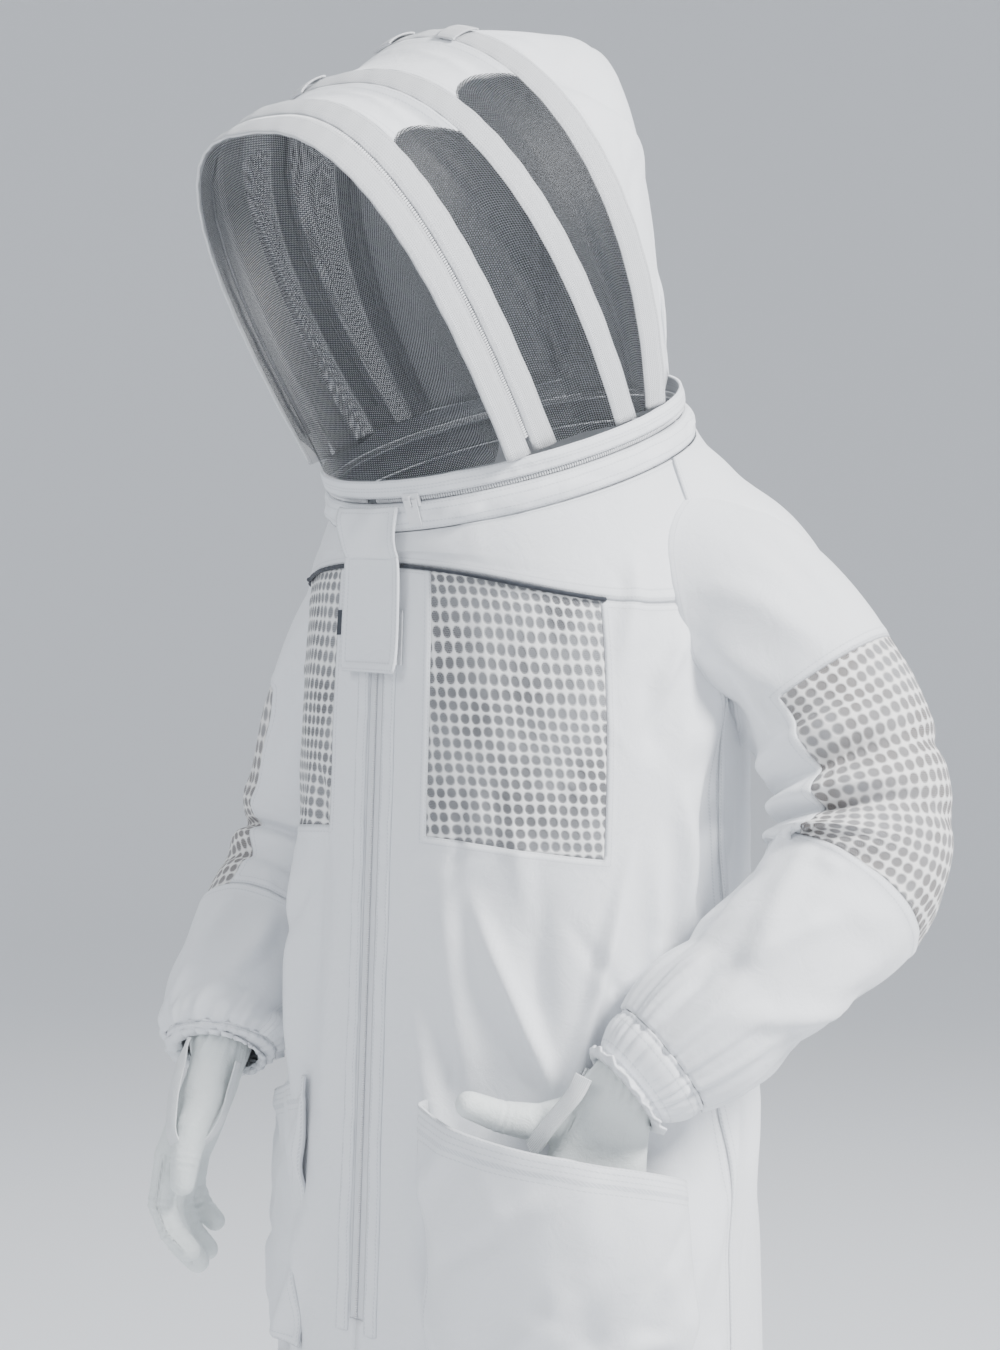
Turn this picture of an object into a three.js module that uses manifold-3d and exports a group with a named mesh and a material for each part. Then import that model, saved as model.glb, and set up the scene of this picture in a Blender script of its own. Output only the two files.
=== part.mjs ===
// A full-length ventilated beekeeping suit with a zip-on fencing hood, worn as if by a standing keeper:
// the keeper's left hand rests in the hip pocket and the right arm hangs.
//
// Units are millimetres. +Z is up, -Y is the way the keeper faces, and +X is the keeper's left.
// The origin is the point between the keeper's shoulders that carries the suit.

import * as THREE from "three";
import { ConvexGeometry } from "three/addons/geometries/ConvexGeometry.js";
import { mergeVertices } from "three/addons/utils/BufferGeometryUtils.js";
import Module from "manifold-3d";

const wasm = await Module();
wasm.setup();

// ---------------------------------------------------------------- driving dimensions

const cotton = 2.6; // cotton shell with its seam allowances
const spacerMesh = 4.8; // three-layer ventilation mesh
const net = 1.6; // veil net
const seam = 0.7; // open line between pieces that are sewn edge to edge
const armholeGap = 2; // the same where a sleeve meets the body
const clearance = 0.8; // between pieces that slide or rest on each other

const collarRadius = 157; // the round zip that joins hood and suit
const collarTilt = 18; // degrees, lower at the throat
const collarHeight = 22; // centre of the zip ring above the origin
const collarStand = 24; // fabric between the zip and the yoke
const bandHeight = 15; // hem band of the hood, above the zip
const coil = 3.4; // diameter of every zip coil

const crotchHeight = -780;
const ankleHeight = -1400;
const ankleCuffLength = 40;
const ankleRadius = 62;
const ankleSpread = 122; // centre of each ankle from the middle

const chestWidth = 412; // across the body at the armpits
const hipWidth = 454;
const zipTop = { y: -141, z: -100 }; // two points of the straight front zip
const zipEnd = { y: -168, z: -711 };
const zipTapeHalf = 7;

const wristRadius = 41;
const wristCuffLength = 34;

const tapeWidth = 25; // webbing tape over the hoops
const tape = 2.2; // thickness of the webbing
const hoopWire = 3.2; // diameter of the spring hoops
const flapWidth = 72;
const flapLength = 98;
const flapLift = 11.6; // over the zip and its slider
const pipe = 3.6; // diameter of the dark piping
const gloveWall = 1.8;

// ---------------------------------------------------------------- small helpers

const rad = THREE.MathUtils.degToRad;
const V = (x, y, z) => new THREE.Vector3(x, y, z);
const mix = (a, b, t) => a + (b - a) * t;
const steps = (from, to, count) => Array.from({ length: count + 1 }, (_, i) => mix(from, to, i / count));
const power = (x, p) => Math.sign(x) * Math.abs(x) ** p;

/** The value at v of a smooth curve through the listed stations, each [v, a, b, ...]. */
function station(stations, v) {
  const last = stations.length - 1;
  let i = 0;
  while (i < last - 1 && v > stations[i + 1][0]) i++;
  const at = (k) => stations[Math.min(last, Math.max(0, k))];
  const t = Math.min(1, Math.max(0, (v - at(i)[0]) / (at(i + 1)[0] - at(i)[0])));
  return at(i).map((_, c) => {
    const [p0, p1, p2, p3] = [at(i - 1)[c], at(i)[c], at(i + 1)[c], at(i + 2)[c]];
    const m1 = (p2 - p0) / 2;
    const m2 = (p3 - p1) / 2;
    const t2 = t * t;
    const t3 = t2 * t;
    return (2 * t3 - 3 * t2 + 1) * p1 + (t3 - 2 * t2 + t) * m1 + (3 * t2 - 2 * t3) * p2 + (t3 - t2) * m2;
  });
}

/**
 * A piece of cloth cut from a surface: every cell of the grid us x vs that keep allows, with its outer
 * face lift above the surface and its inner face thickness below that. wrap joins the last column to
 * the first.
 */
function cloth(surface, us, vs, thickness, { keep = () => true, wrap = false, lift = 0 } = {}) {
  const columns = wrap ? us.length - 1 : us.length;
  const rows = vs.length;
  const normalAt = (u, v) => {
    const e = 1e-3;
    const du = surface(u + e, v).sub(surface(u - e, v));
    const dv = surface(u, v + e).sub(surface(u, v - e));
    return du.cross(dv).normalize();
  };
  const positions = [];
  for (const depth of [lift, lift - thickness]) {
    for (let j = 0; j < rows; j++) {
      for (let i = 0; i < columns; i++) {
        const p = surface(us[i], vs[j]).addScaledVector(normalAt(us[i], vs[j]), depth);
        positions.push(p.x, p.y, p.z);
      }
    }
  }
  const outer = (i, j) => j * columns + (i % columns);
  const inner = (i, j) => outer(i, j) + columns * rows;
  const cells = us.length - 1;
  const kept = (i, j) => {
    if (j < 0 || j >= rows - 1) return false;
    const k = wrap ? (i + cells) % cells : i;
    if (k < 0 || k >= cells) return false;
    return keep((us[k] + us[k + 1]) / 2, (vs[j] + vs[j + 1]) / 2);
  };
  const index = [];
  const quad = (a, b, c, d) => index.push(a, b, c, a, c, d);
  for (let j = 0; j < rows - 1; j++) {
    for (let i = 0; i < cells; i++) {
      if (!kept(i, j)) continue;
      quad(outer(i, j), outer(i + 1, j), outer(i + 1, j + 1), outer(i, j + 1));
      quad(inner(i, j), inner(i, j + 1), inner(i + 1, j + 1), inner(i + 1, j));
      if (!kept(i, j - 1)) quad(outer(i, j), inner(i, j), inner(i + 1, j), outer(i + 1, j));
      if (!kept(i, j + 1)) quad(outer(i + 1, j + 1), inner(i + 1, j + 1), inner(i, j + 1), outer(i, j + 1));
      if (!kept(i - 1, j)) quad(outer(i, j + 1), inner(i, j + 1), inner(i, j), outer(i, j));
      if (!kept(i + 1, j)) quad(outer(i + 1, j), inner(i + 1, j), inner(i + 1, j + 1), outer(i + 1, j + 1));
    }
  }
  const used = [...new Set(index)];
  const renumber = new Map(used.map((old, k) => [old, k]));
  const compact = new Float32Array(used.length * 3);
  used.forEach((old, k) => compact.set(positions.slice(old * 3, old * 3 + 3), k * 3));
  return new THREE.BufferGeometry()
    .setAttribute("position", new THREE.BufferAttribute(compact, 3))
    .setIndex(index.map((old) => renumber.get(old)));
}

/** A filled tube: the surface over us x vs with a flat cap at each end. The surface's columns wrap. */
function filledTube(surface, us, vs) {
  const columns = us.length - 1;
  const positions = [];
  for (const v of vs) {
    for (let i = 0; i < columns; i++) positions.push(...surface(us[i], v).toArray());
  }
  const centre = (v) => {
    const sum = V(0, 0, 0);
    for (let i = 0; i < columns; i++) sum.add(surface(us[i], v));
    return sum.divideScalar(columns);
  };
  const first = columns * vs.length;
  positions.push(...centre(vs[0]).toArray(), ...centre(vs.at(-1)).toArray());
  const at = (i, j) => j * columns + (i % columns);
  const index = [];
  for (let j = 0; j < vs.length - 1; j++) {
    for (let i = 0; i < columns; i++) {
      index.push(at(i, j), at(i + 1, j), at(i + 1, j + 1), at(i, j), at(i + 1, j + 1), at(i, j + 1));
    }
  }
  for (let i = 0; i < columns; i++) {
    index.push(first, at(i + 1, 0), at(i, 0));
    index.push(first + 1, at(i, vs.length - 1), at(i + 1, vs.length - 1));
  }
  return new THREE.BufferGeometry()
    .setAttribute("position", new THREE.BufferAttribute(new Float32Array(positions), 3))
    .setIndex(index);
}

/** A manifold-3d solid of a closed geometry. */
function solid(geometry) {
  const bare = geometry.clone();
  bare.deleteAttribute("normal");
  bare.deleteAttribute("uv");
  const merged = mergeVertices(bare, 1e-4);
  return new wasm.Manifold(
    new wasm.Mesh({
      numProp: 3,
      vertProperties: new Float32Array(merged.attributes.position.array),
      triVerts: new Uint32Array(merged.index.array),
    }),
  );
}

/** The geometry of a manifold-3d solid. Slivers left loose by a cut are dropped. */
function geometryOf(made) {
  const pieces = made.decompose();
  const largest = pieces.reduce((a, b) => (b.volume() > a.volume() ? b : a));
  const m = largest.getMesh();
  const positions = new Float32Array(m.numVert * 3);
  for (let i = 0; i < m.numVert; i++) {
    positions.set(m.vertProperties.subarray(i * m.numProp, i * m.numProp + 3), i * 3);
  }
  return new THREE.BufferGeometry()
    .setAttribute("position", new THREE.BufferAttribute(positions, 3))
    .setIndex(new THREE.BufferAttribute(m.triVerts, 1));
}

const cut = (geometry, ...cutters) =>
  geometryOf(cutters.reduce((left, cutter) => left.subtract(cutter), solid(geometry)));

/** A round rod or cord along a curve. */
function rod(curve, diameter, along, sides = 8) {
  const section = new THREE.Shape();
  section.absarc(0, 0, diameter / 2, 0, Math.PI * 2);
  const settings = { steps: along, curveSegments: sides / 2, extrudePath: curve };
  const bar = new THREE.ExtrudeGeometry(section, settings);
  bar.deleteAttribute("normal");
  bar.deleteAttribute("uv");
  return mergeVertices(bar, 1e-4);
}

/** The left-hand copy of a right-hand geometry, or the other way round. */
function mirrored(geometry) {
  const g = geometry.clone();
  const p = g.attributes.position;
  for (let i = 0; i < p.count; i++) p.setX(i, -p.getX(i));
  const index = g.index.array;
  for (let i = 0; i < index.length; i += 3) [index[i], index[i + 1]] = [index[i + 1], index[i]];
  return g;
}

/** Values from a to b that also take in every multiple of step in between. */
function between(a, b, step) {
  const inner = [];
  for (let k = Math.ceil(a / step + 1e-6); k * step < b - step * 0.12; k++) {
    if (k * step > a + step * 0.12) inner.push(k * step);
  }
  return [a, ...inner, b];
}

/** A smooth curve through points. */
const CurveThrough = class extends THREE.CatmullRomCurve3 {
  constructor(points) {
    super(points, false, "centripetal");
  }
};

/** A box with its centre at (x, y, z). */
function block(w, d, h, x = 0, y = 0, z = 0) {
  return solid(new THREE.BoxGeometry(w, d, h)).translate([x, y, z]);
}

const suit = new THREE.Group();

/** Adds a named piece with its finish. */
function piece(name, geometry, material) {
  const mesh = new THREE.Mesh(geometry, material.clone());
  mesh.name = name;
  suit.add(mesh);
  return mesh;
}

const finish = (color, roughness, metalness = 0) =>
  new THREE.MeshStandardMaterial({ color, roughness, metalness });
const whiteCotton = finish(0xf1f3f7, 0.85);
const whiteMesh = finish(0xe9e8e4, 0.8);
const blackNet = finish(0x1b1d20, 0.7);
const webbing = finish(0xeef0f3, 0.7);
const piping = finish(0x3a3f4a, 0.7);
const whiteNylon = finish(0xf4f5f7, 0.4);
const leather = finish(0xe6ebe9, 0.6);
const springSteel = finish(0xb9bcc0, 0.35, 0.9);
const elastic = finish(0xf2f3f5, 0.75);

// ---------------------------------------------------------------- the collar ring

const tiltAway = V(0, Math.cos(rad(collarTilt)), Math.sin(rad(collarTilt)));
const tiltUp = V(0, -Math.sin(rad(collarTilt)), Math.cos(rad(collarTilt)));
const collarCentre = V(0, 0, collarHeight);

/** A point by angle from the throat towards the keeper's left, radius, and height above the ring. */
function ringPoint(angle, radius, height) {
  return collarCentre
    .clone()
    .add(V(radius * Math.sin(rad(angle)), 0, 0))
    .addScaledVector(tiltAway, -radius * Math.cos(rad(angle)))
    .addScaledVector(tiltUp, height);
}

// ---------------------------------------------------------------- the body of the suit

const zipLine = (z) => mix(zipTop.y, zipEnd.y, (zipTop.z - z) / (zipTop.z - zipEnd.z));
const neckBase = -(collarStand + coil / 2 + seam);
const neckCentre = collarCentre.clone().addScaledVector(tiltUp, neckBase);

// Level rings up to the yoke: height, half width, centre y and how far the grain dips at the sides.
const levelRing = (v, z, width, y, dip) => [v, z, width, y - zipLine(z), y, 0, dip, 0.889];
const chest = chestWidth / 2;
const hip = hipWidth / 2;
const bodyRings = [
  levelRing(0, crotchHeight, hip, 14, 0),
  levelRing(1.4, mix(crotchHeight, zipTop.z, 0.2), hip - 3, 13, 0),
  levelRing(2.6, -520, chest + 3, 13, 0),
  levelRing(3.8, -400, chest - 1, 15, 10),
  levelRing(5, -290, chest + 2, 19, 22),
  levelRing(6.2, -180, chest, 22, 32),
  [7.2, -71, chest - 11, 160, 20, 3, 38, 0.9],
  [7.7, -36, chest - 29, 159, 12, 11, 14, 0.94],
  [8.4, neckCentre.z, collarRadius + 4, collarRadius + 4, neckCentre.y, collarTilt, 0, 1],
];
const yokeSeam = 7.2;
const neckEdge = 8.4;

/** The body's surface by angle in degrees from the zip to the keeper's left, and v up from the crotch. */
function body(angle, v) {
  const [, z, width, depth, centreY, tilt, dip, roundness] = station(bodyRings, v);
  const across = width * power(Math.sin(rad(angle)), roundness);
  const away = -depth * power(Math.cos(rad(angle)), roundness);
  const drop = dip * Math.sin(rad(angle)) ** 2;
  return V(across, centreY + away * Math.cos(rad(tilt)), z + away * Math.sin(rad(tilt)) - drop);
}

/** The body's surface and its outward direction. */
function onBody(angle, v, lift) {
  const e = 1e-3;
  const du = body(angle + e, v).sub(body(angle - e, v));
  const dv = body(angle, Math.min(neckEdge, v + e)).sub(body(angle, Math.max(0, v - e)));
  return body(angle, v).addScaledVector(du.cross(dv).normalize(), lift);
}

/** v of the body where the zip line has the given height. */
function levelOf(z, angle = 0) {
  let low = 0;
  let high = neckEdge;
  for (let i = 0; i < 30; i++) {
    const middle = (low + high) / 2;
    if (body(angle, middle).z < z) low = middle;
    else high = middle;
  }
  return low;
}

const angleStep = 10;
const levelStep = 1.1;
const halfSeamAngle = 0.1; // half a seam, in degrees round the body
const halfSeamLevel = 0.004; // half a seam, in levels up the body
const zipEdge = 1.35; // degrees of each side of the front zip tape
const ventAngles = { from: 15, to: 64 };
const chestVentFoot = levelOf(-300);
const sideSeam = 100;
const zipFoot = levelOf(zipEnd.z);

const above = (v) => v + halfSeamLevel;
const below = (v) => v - halfSeamLevel;

/** A panel of the body between two angles and two levels, short of its seams. */
function panel(a0, a1, v0, v1, thickness, options = {}) {
  const us = options.us ?? between(a0 + halfSeamAngle, a1 - halfSeamAngle, angleStep);
  const vs = options.vs ?? between(above(v0), below(v1), levelStep);
  return cloth(options.surface ?? body, us, vs, thickness, options);
}

// ---------------------------------------------------------------- sleeves

const arms = {
  left: {
    side: 1,
    path: [
      V(118, 66, -88), V(200, 104, -126), V(268, 134, -216),
      V(298, 122, -324), V(284, 26, -408), V(233, -84, -499),
    ],
    radii: [[0, 80], [0.18, 79], [0.36, 73], [0.56, 75], [0.78, 66], [0.93, 52], [1, wristRadius + 3]],
  },
  right: {
    side: -1,
    path: [
      V(-118, 30, -92), V(-190, 30, -130), V(-251, 24, -215), V(-281, 8, -345),
      V(-261, -68, -425), V(-209, -143, -484), V(-197, -161, -513),
    ],
    radii: [[0, 80], [0.18, 78], [0.36, 69], [0.56, 63], [0.78, 58], [0.93, 49], [1, wristRadius + 3]],
  },
};
const elbowVent = { from: 0.33, to: 0.65, half: 82 }; // shares of the sleeve's length, degrees each side

for (const arm of Object.values(arms)) {
  arm.curve = new THREE.CatmullRomCurve3(arm.path, false, "centripetal");
  arm.frame = (t) => {
    const tangent = arm.curve.getTangent(t);
    const out = V(arm.side, 0.15, 0.35).projectOnPlane(tangent).normalize();
    return { centre: arm.curve.getPoint(t), tangent, out, side: tangent.clone().cross(out) };
  };
  arm.surface = (angle, t) => {
    const { centre, out, side } = arm.frame(Math.min(1, Math.max(0, t)));
    const radius = station(arm.radii, t)[1];
    return centre
      .addScaledVector(out, radius * Math.cos(rad(angle)))
      .addScaledVector(side, radius * Math.sin(rad(angle)));
  };
}

const halfGap = 0.35; // degrees of sleeve
const gapShare = 0.0016; // of the sleeve's length
const sleeveAngles = [
  ...between(-elbowVent.half + halfGap, elbowVent.half - halfGap, 20),
  ...between(elbowVent.half + halfGap, 360 - elbowVent.half - halfGap, 20),
  360 - elbowVent.half + halfGap,
];

const upperShares = [
  ...between(0.02, elbowVent.from - gapShare, 0.08),
  ...between(elbowVent.from + gapShare, elbowVent.to - gapShare, 0.07),
];

/** The top of a sleeve as one filled form, a little larger than its cloth. */
function sleeveForm(arm, grow) {
  const larger = (u, t) => {
    const p = arm.surface(u, t);
    const centre = arm.curve.getPoint(t);
    return p.addScaledVector(p.clone().sub(centre).normalize(), grow);
  };
  const shares = [0, ...upperShares.filter((t) => t < elbowVent.from + 0.02)];
  return solid(filledTube(larger, sleeveAngles, shares));
}

/** The whole body as one filled form. */
function bodyForm(grow) {
  const larger = (u, v) => onBody(u, v, grow);
  return solid(filledTube(larger, between(0, 360, angleStep), between(0, neckEdge, levelStep)));
}

const bodyCutter = bodyForm(armholeGap);
const armCutter = sleeveForm(arms.left, armholeGap).add(sleeveForm(arms.right, armholeGap));

// ---------------------------------------------------------------- yoke, chest and back

const frontAngles = [
  halfSeamAngle,
  ...between(zipEdge + halfSeamAngle, ventAngles.from - halfSeamAngle, angleStep),
  ...between(ventAngles.from + halfSeamAngle, ventAngles.to - halfSeamAngle, angleStep),
  ...between(ventAngles.to + halfSeamAngle, sideSeam - halfSeamAngle, angleStep),
];
const frontLevels = [
  ...between(0, below(zipFoot), levelStep),
  ...between(above(zipFoot), below(chestVentFoot), levelStep),
  ...between(above(chestVentFoot), below(yokeSeam), levelStep),
];
const besideZip = (a, v) => a < zipEdge + halfSeamAngle && v > below(zipFoot);
const inVent = (a, v) =>
  a > ventAngles.from - halfSeamAngle && a < ventAngles.to + halfSeamAngle && v > below(chestVentFoot);

/** The left piece as given and its mirror image on the right, each cut back around its armhole. */
function pair(name, left, material, cutter) {
  const trim = (g) => (cutter ? cut(g, cutter) : g);
  piece(`${name}_left`, trim(left), material);
  piece(`${name}_right`, trim(mirrored(left)), material);
}

const frontCloth = cloth(body, frontAngles, frontLevels, cotton, {
  keep: (a, v) => !besideZip(a, v) && !inVent(a, v),
});
pair("front", frontCloth, whiteCotton, armCutter);
pair("chest_vent", panel(ventAngles.from, ventAngles.to, chestVentFoot, yokeSeam, spacerMesh), whiteMesh);
const capeSide = 108; // degrees from the zip at which the front yoke gives way to the cape
pair("yoke_front", panel(zipEdge, capeSide, yokeSeam, neckEdge, cotton), whiteCotton, armCutter);

const backVent = { half: 44, foot: levelOf(-430), top: levelOf(-150) }; // degrees each side of the spine
const backAngles = [
  ...between(sideSeam + halfSeamAngle, 180 - backVent.half - halfSeamAngle, angleStep),
  ...between(180 - backVent.half + halfSeamAngle, 180 + backVent.half - halfSeamAngle, angleStep),
  ...between(180 + backVent.half + halfSeamAngle, 360 - sideSeam - halfSeamAngle, angleStep),
];
const backLevels = [
  ...between(0, below(backVent.foot), levelStep),
  ...between(above(backVent.foot), below(backVent.top), levelStep),
  ...between(above(backVent.top), below(yokeSeam), levelStep),
];
const inBackVent = (a, v) =>
  Math.abs(a - 180) < backVent.half + halfSeamAngle && v > below(backVent.foot) && v < above(backVent.top);
const backCloth = cloth(body, backAngles, backLevels, cotton, { keep: (a, v) => !inBackVent(a, v) });
piece("back", cut(backCloth, armCutter), whiteCotton);
const backVentEdges = [180 - backVent.half, 180 + backVent.half];
piece("back_vent", panel(...backVentEdges, backVent.foot, backVent.top, spacerMesh), whiteMesh);

// The back yoke is a cape: it leaves the body towards its hem and hangs over the back.
const capeOverhang = 0.12; // levels below the yoke seam
const capeFlare = 20;
const capeWings = { at: 48, spread: 34, flare: 52 }; // it stands off most at this many degrees from the spine
const cape = (angle, v) => {
  const fall = Math.min(1, Math.max(0, (neckEdge - v) / (neckEdge - yokeSeam)));
  const wing = Math.exp(-(((Math.abs(angle - 180) - capeWings.at) / capeWings.spread) ** 2));
  return onBody(angle, v, (capeFlare + capeWings.flare * wing) * fall ** 1.6);
};
const capeAngles = between(capeSide, 360 - capeSide, angleStep);
const capeLevels = between(yokeSeam - capeOverhang, below(neckEdge), 0.3);
piece("yoke_back", cut(cloth(cape, capeAngles, capeLevels, cotton), armCutter), whiteCotton);

/** A piped edge: a cord lying against the outside of the cloth. */
function pipeAlong(at, from, to) {
  const curve = new CurveThrough(steps(from, to, 20).map(at));
  return rod(curve, pipe, 12, 5);
}

const pipeLift = pipe / 2 + 0.3;
const frontPipe = pipeAlong((a) => onBody(a, yokeSeam, pipeLift), zipEdge + 1.4, 66);
pair("piping_front", frontPipe, piping);
const capeHem = yokeSeam - capeOverhang;
const capeOut = (a) => cape(a, capeHem).sub(body(a, capeHem)).normalize();
const onCapeHem = (a) => cape(a, capeHem + 0.05).addScaledVector(capeOut(a), pipeLift + 0.8);
piece("piping_back", pipeAlong(onCapeHem, 130, 230), piping);

// ---------------------------------------------------------------- front zip, placket label and flap

const zipLevels = between(above(zipFoot), neckEdge - 0.02, 0.6);
const zipTape = cloth(body, [-zipEdge, 0, zipEdge], zipLevels, cotton);
const coilProud = 1.3; // of the tape
const coilCurve = new CurveThrough(zipLevels.map((v) => onBody(0, v, coilProud - coil / 2)));
piece("front_zip", geometryOf(solid(zipTape).add(solid(rod(coilCurve, coil, 12, 6)))), whiteNylon);

/**
 * A zip slider that rides over its coil, in the frame x across, y down the zip and z out of the tape.
 * The coil stands proud of the tape by the given height, and the arch on top is turned by a quarter
 * when the tab hangs across the zip.
 */
const sliderHeight = 3.8;
const archHeight = 3.4;
function sliderShape(proud, sit = clearance, across = false) {
  const saddle = block(11, 15, sliderHeight - clearance, 0, 0, sit + (sliderHeight - clearance) / 2);
  const deep = proud + clearance;
  const channel = block(coil + clearance * 2, 17, deep, 0, 0, deep / 2);
  const top = sit + sliderHeight - clearance;
  const arch = block(2, 9, archHeight + 0.2, 0, 0, top + archHeight / 2 - 0.1).subtract(
    block(3, 5.4, archHeight - 1, 0, 0, top + (archHeight - 1) / 2),
  );
  const body = saddle.subtract(channel);
  return geometryOf(body.add(across ? arch.rotate([0, 0, 90]) : arch));
}

/** The tab of a slider: a plate with a window whose top bar passes under the slider's arch. */
function pullShape(length, axis, width = 8) {
  const plate = block(width, length, 1.1, 0, length / 2 - 0.7, axis);
  const window = block(3.6, 4.6, 3, 0, 3, axis);
  return geometryOf(plate.subtract(window));
}
const pullAxis = (sit = clearance) => sit + sliderHeight - clearance + (archHeight - 1) / 2;

/** Stands a piece made in its own frame on the suit, by where its frame's y and z then point. */
function stand(mesh, origin, down, out) {
  const z = out.clone().normalize();
  const y = down.clone().projectOnPlane(z).normalize();
  mesh.setRotationFromMatrix(new THREE.Matrix4().makeBasis(y.clone().cross(z), y, z));
  mesh.position.copy(origin);
}

const zipDown = V(0, zipEnd.y - zipTop.y, zipEnd.z - zipTop.z).normalize();
const zipOut = V(0, zipDown.z, -zipDown.y);
const frontSliderAt = onBody(0, levelOf(-114), 0.4);
stand(piece("front_zip_slider", sliderShape(coilProud), whiteNylon), frontSliderAt, zipDown, zipOut);
stand(piece("front_zip_pull", pullShape(26, pullAxis()), whiteNylon), frontSliderAt, zipDown, zipOut);

const degreesAcross = (width) => (Math.asin((width / 2 / chest) ** (1 / 0.889)) * 180) / Math.PI;
const flapHalf = degreesAcross(flapWidth);
const flapTopLevel = levelOf(-71);
const flapFootLevel = levelOf(-71 - flapLength);
const flapAngles = between(-flapHalf, flapHalf, 3);
const flapLevels = between(flapFootLevel, flapTopLevel, 0.25);
piece("throat_flap", cloth((a, v) => onBody(a, v, flapLift), flapAngles, flapLevels, cotton), whiteCotton);
const padAngles = { from: degreesAcross(2 * 14), to: degreesAcross(flapWidth - 8) };
const padLevels = { from: levelOf(-162), to: levelOf(-116) };
const pad = (lift, thickness) => {
  const surface = (a, v) => onBody(a, v, lift);
  return panel(padAngles.from, padAngles.to, padLevels.from, padLevels.to, thickness, { surface });
};
piece("hook_pad", pad(flapLift - cotton - 0.3, 1.6), whiteNylon);
piece("loop_pad", pad(2.4, 1.6), whiteNylon);
const labelAngles = [-degreesAcross(2 * 60), -degreesAcross(2 * 42)];
const overCloth = (a, v) => onBody(a, v, 1.6);
piece("label_tab", panel(...labelAngles, levelOf(-138), levelOf(-116), 1.2, { surface: overCloth }), piping);

// ---------------------------------------------------------------- neck, collar zip and hood band

const ringAngles = (from, to) => between(from, to, 12);
const neckStand = (angle, v) => {
  const height = mix(neckBase + seam, -coil / 2 - seam, v);
  return ringPoint(angle, collarRadius + mix(4, 0, v), height);
};
piece("neck_collar", cloth(neckStand, ringAngles(1.2, 358.8), [0, 1], cotton), whiteCotton);
const collarCurve = new CurveThrough(steps(2, 358, 60).map((a) => ringPoint(a, collarRadius - coil / 2, 0)));
piece("collar_zip", rod(collarCurve, coil, 36, 6), whiteNylon);

const collarSliderAngle = 17;
const sliderOrigin = ringPoint(collarSliderAngle, collarRadius - coil / 2, 0);
const sliderOut = ringPoint(collarSliderAngle, collarRadius + 10, 0)
  .sub(ringPoint(collarSliderAngle, collarRadius, 0));
const sliderAlong = ringPoint(collarSliderAngle - 2, collarRadius, 0)
  .sub(ringPoint(collarSliderAngle + 2, collarRadius, 0));
const collarSit = coil / 2 + 1 + clearance; // clear of the hood band, which stands 1 mm outside the coil
const collarSlider = piece("collar_zip_slider", sliderShape(0, collarSit, true), whiteNylon);
stand(collarSlider, sliderOrigin, sliderAlong, sliderOut);
const ringDown = tiltUp.clone().negate();
const collarPull = piece("collar_zip_pull", pullShape(22, pullAxis(collarSit), 12), whiteNylon);
stand(collarPull, sliderOrigin, ringDown, sliderOut);

const bandFoot = coil / 2 + seam;
const bandTop = bandFoot + bandHeight;
const band = (angle, v) => ringPoint(angle, collarRadius + 1, mix(bandFoot, bandTop, v));
piece("hood_band", cloth(band, steps(0, 360, 32), [0, 1], cotton, { wrap: true }), whiteCotton);

// ---------------------------------------------------------------- hood

// Each hoop stands on the collar ring: where its feet are, its height, its lean and how far it bellies out.
const hoops = {
  front: { foot: 58, inset: 8, height: 338, lean: 32.5, belly: 17, roundness: 0.71 },
  middle: { foot: 92, inset: 6, height: 348, lean: 31.5, belly: 34, roundness: 0.8 },
  rear: { foot: 107, inset: 8, height: 354, lean: 22, belly: 64, roundness: 0.94 },
  bag: { foot: 152, inset: 2, height: 318, lean: 9, belly: 6, roundness: 0.62 },
};

/** A point of a hoop: phi from -90, its right foot, to 90; forward of its plane and inside its line. */
function hoopPoint(hoop, phi, forward = 0, inside = 0) {
  const foot = ringPoint(hoop.foot, collarRadius - hoop.inset, 0);
  const s = power(Math.sin(rad(phi)), hoop.roundness);
  const c = power(Math.cos(rad(phi)), hoop.roundness);
  const lean = rad(hoop.lean);
  const x = (foot.x - inside) * s + hoop.belly * 2 * s * c * (1 - 0.4 * c);
  const up = (hoop.height - inside) * c;
  return V(
    x,
    foot.y - up * Math.sin(lean) - forward * Math.cos(lean),
    foot.z + up * Math.cos(lean) - forward * Math.sin(lean),
  );
}

const visorZipGap = coil / 2 + 0.8;
const frontEdge = visorZipGap + tapeWidth;
const chinHalf = 45; // degrees of the ring, each side of the throat, under the visor
const nape = 26; // degrees of the ring, each side of the back, under the bag
// The lines that the hood's cloth is stretched between, from the chin over the head to the nape.
const hoodLines = [
  (phi) => ringPoint(power(Math.sin(rad(phi)), 0.9) * chinHalf, collarRadius, bandTop + 1),
  (phi) => hoopPoint(hoops.front, phi, frontEdge - 4, tape + 1),
  (phi) => hoopPoint(hoops.front, phi, frontEdge),
  (phi) => hoopPoint(hoops.front, phi, visorZipGap),
  (phi) => hoopPoint(hoops.front, phi, -visorZipGap),
  (phi) => hoopPoint(hoops.front, phi, -frontEdge),
  (phi) => hoopPoint(hoops.middle, phi, tapeWidth / 2),
  (phi) => hoopPoint(hoops.middle, phi, -tapeWidth / 2),
  (phi) => hoopPoint(hoops.rear, phi, tapeWidth / 2),
  (phi) => hoopPoint(hoops.rear, phi, -tapeWidth / 2),
  (phi) => hoopPoint(hoops.bag, phi),
  (phi) => ringPoint(180 - power(Math.sin(rad(phi)), 0.9) * nape, collarRadius, bandFoot),
];
const line = {
  chin: 0, visor: 1, visorTape: 2, zip: 4, frontTape: 5, middle: 6,
  middleBack: 7, rear: 8, rearBack: 9, bag: 10, nape: 11,
};

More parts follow.
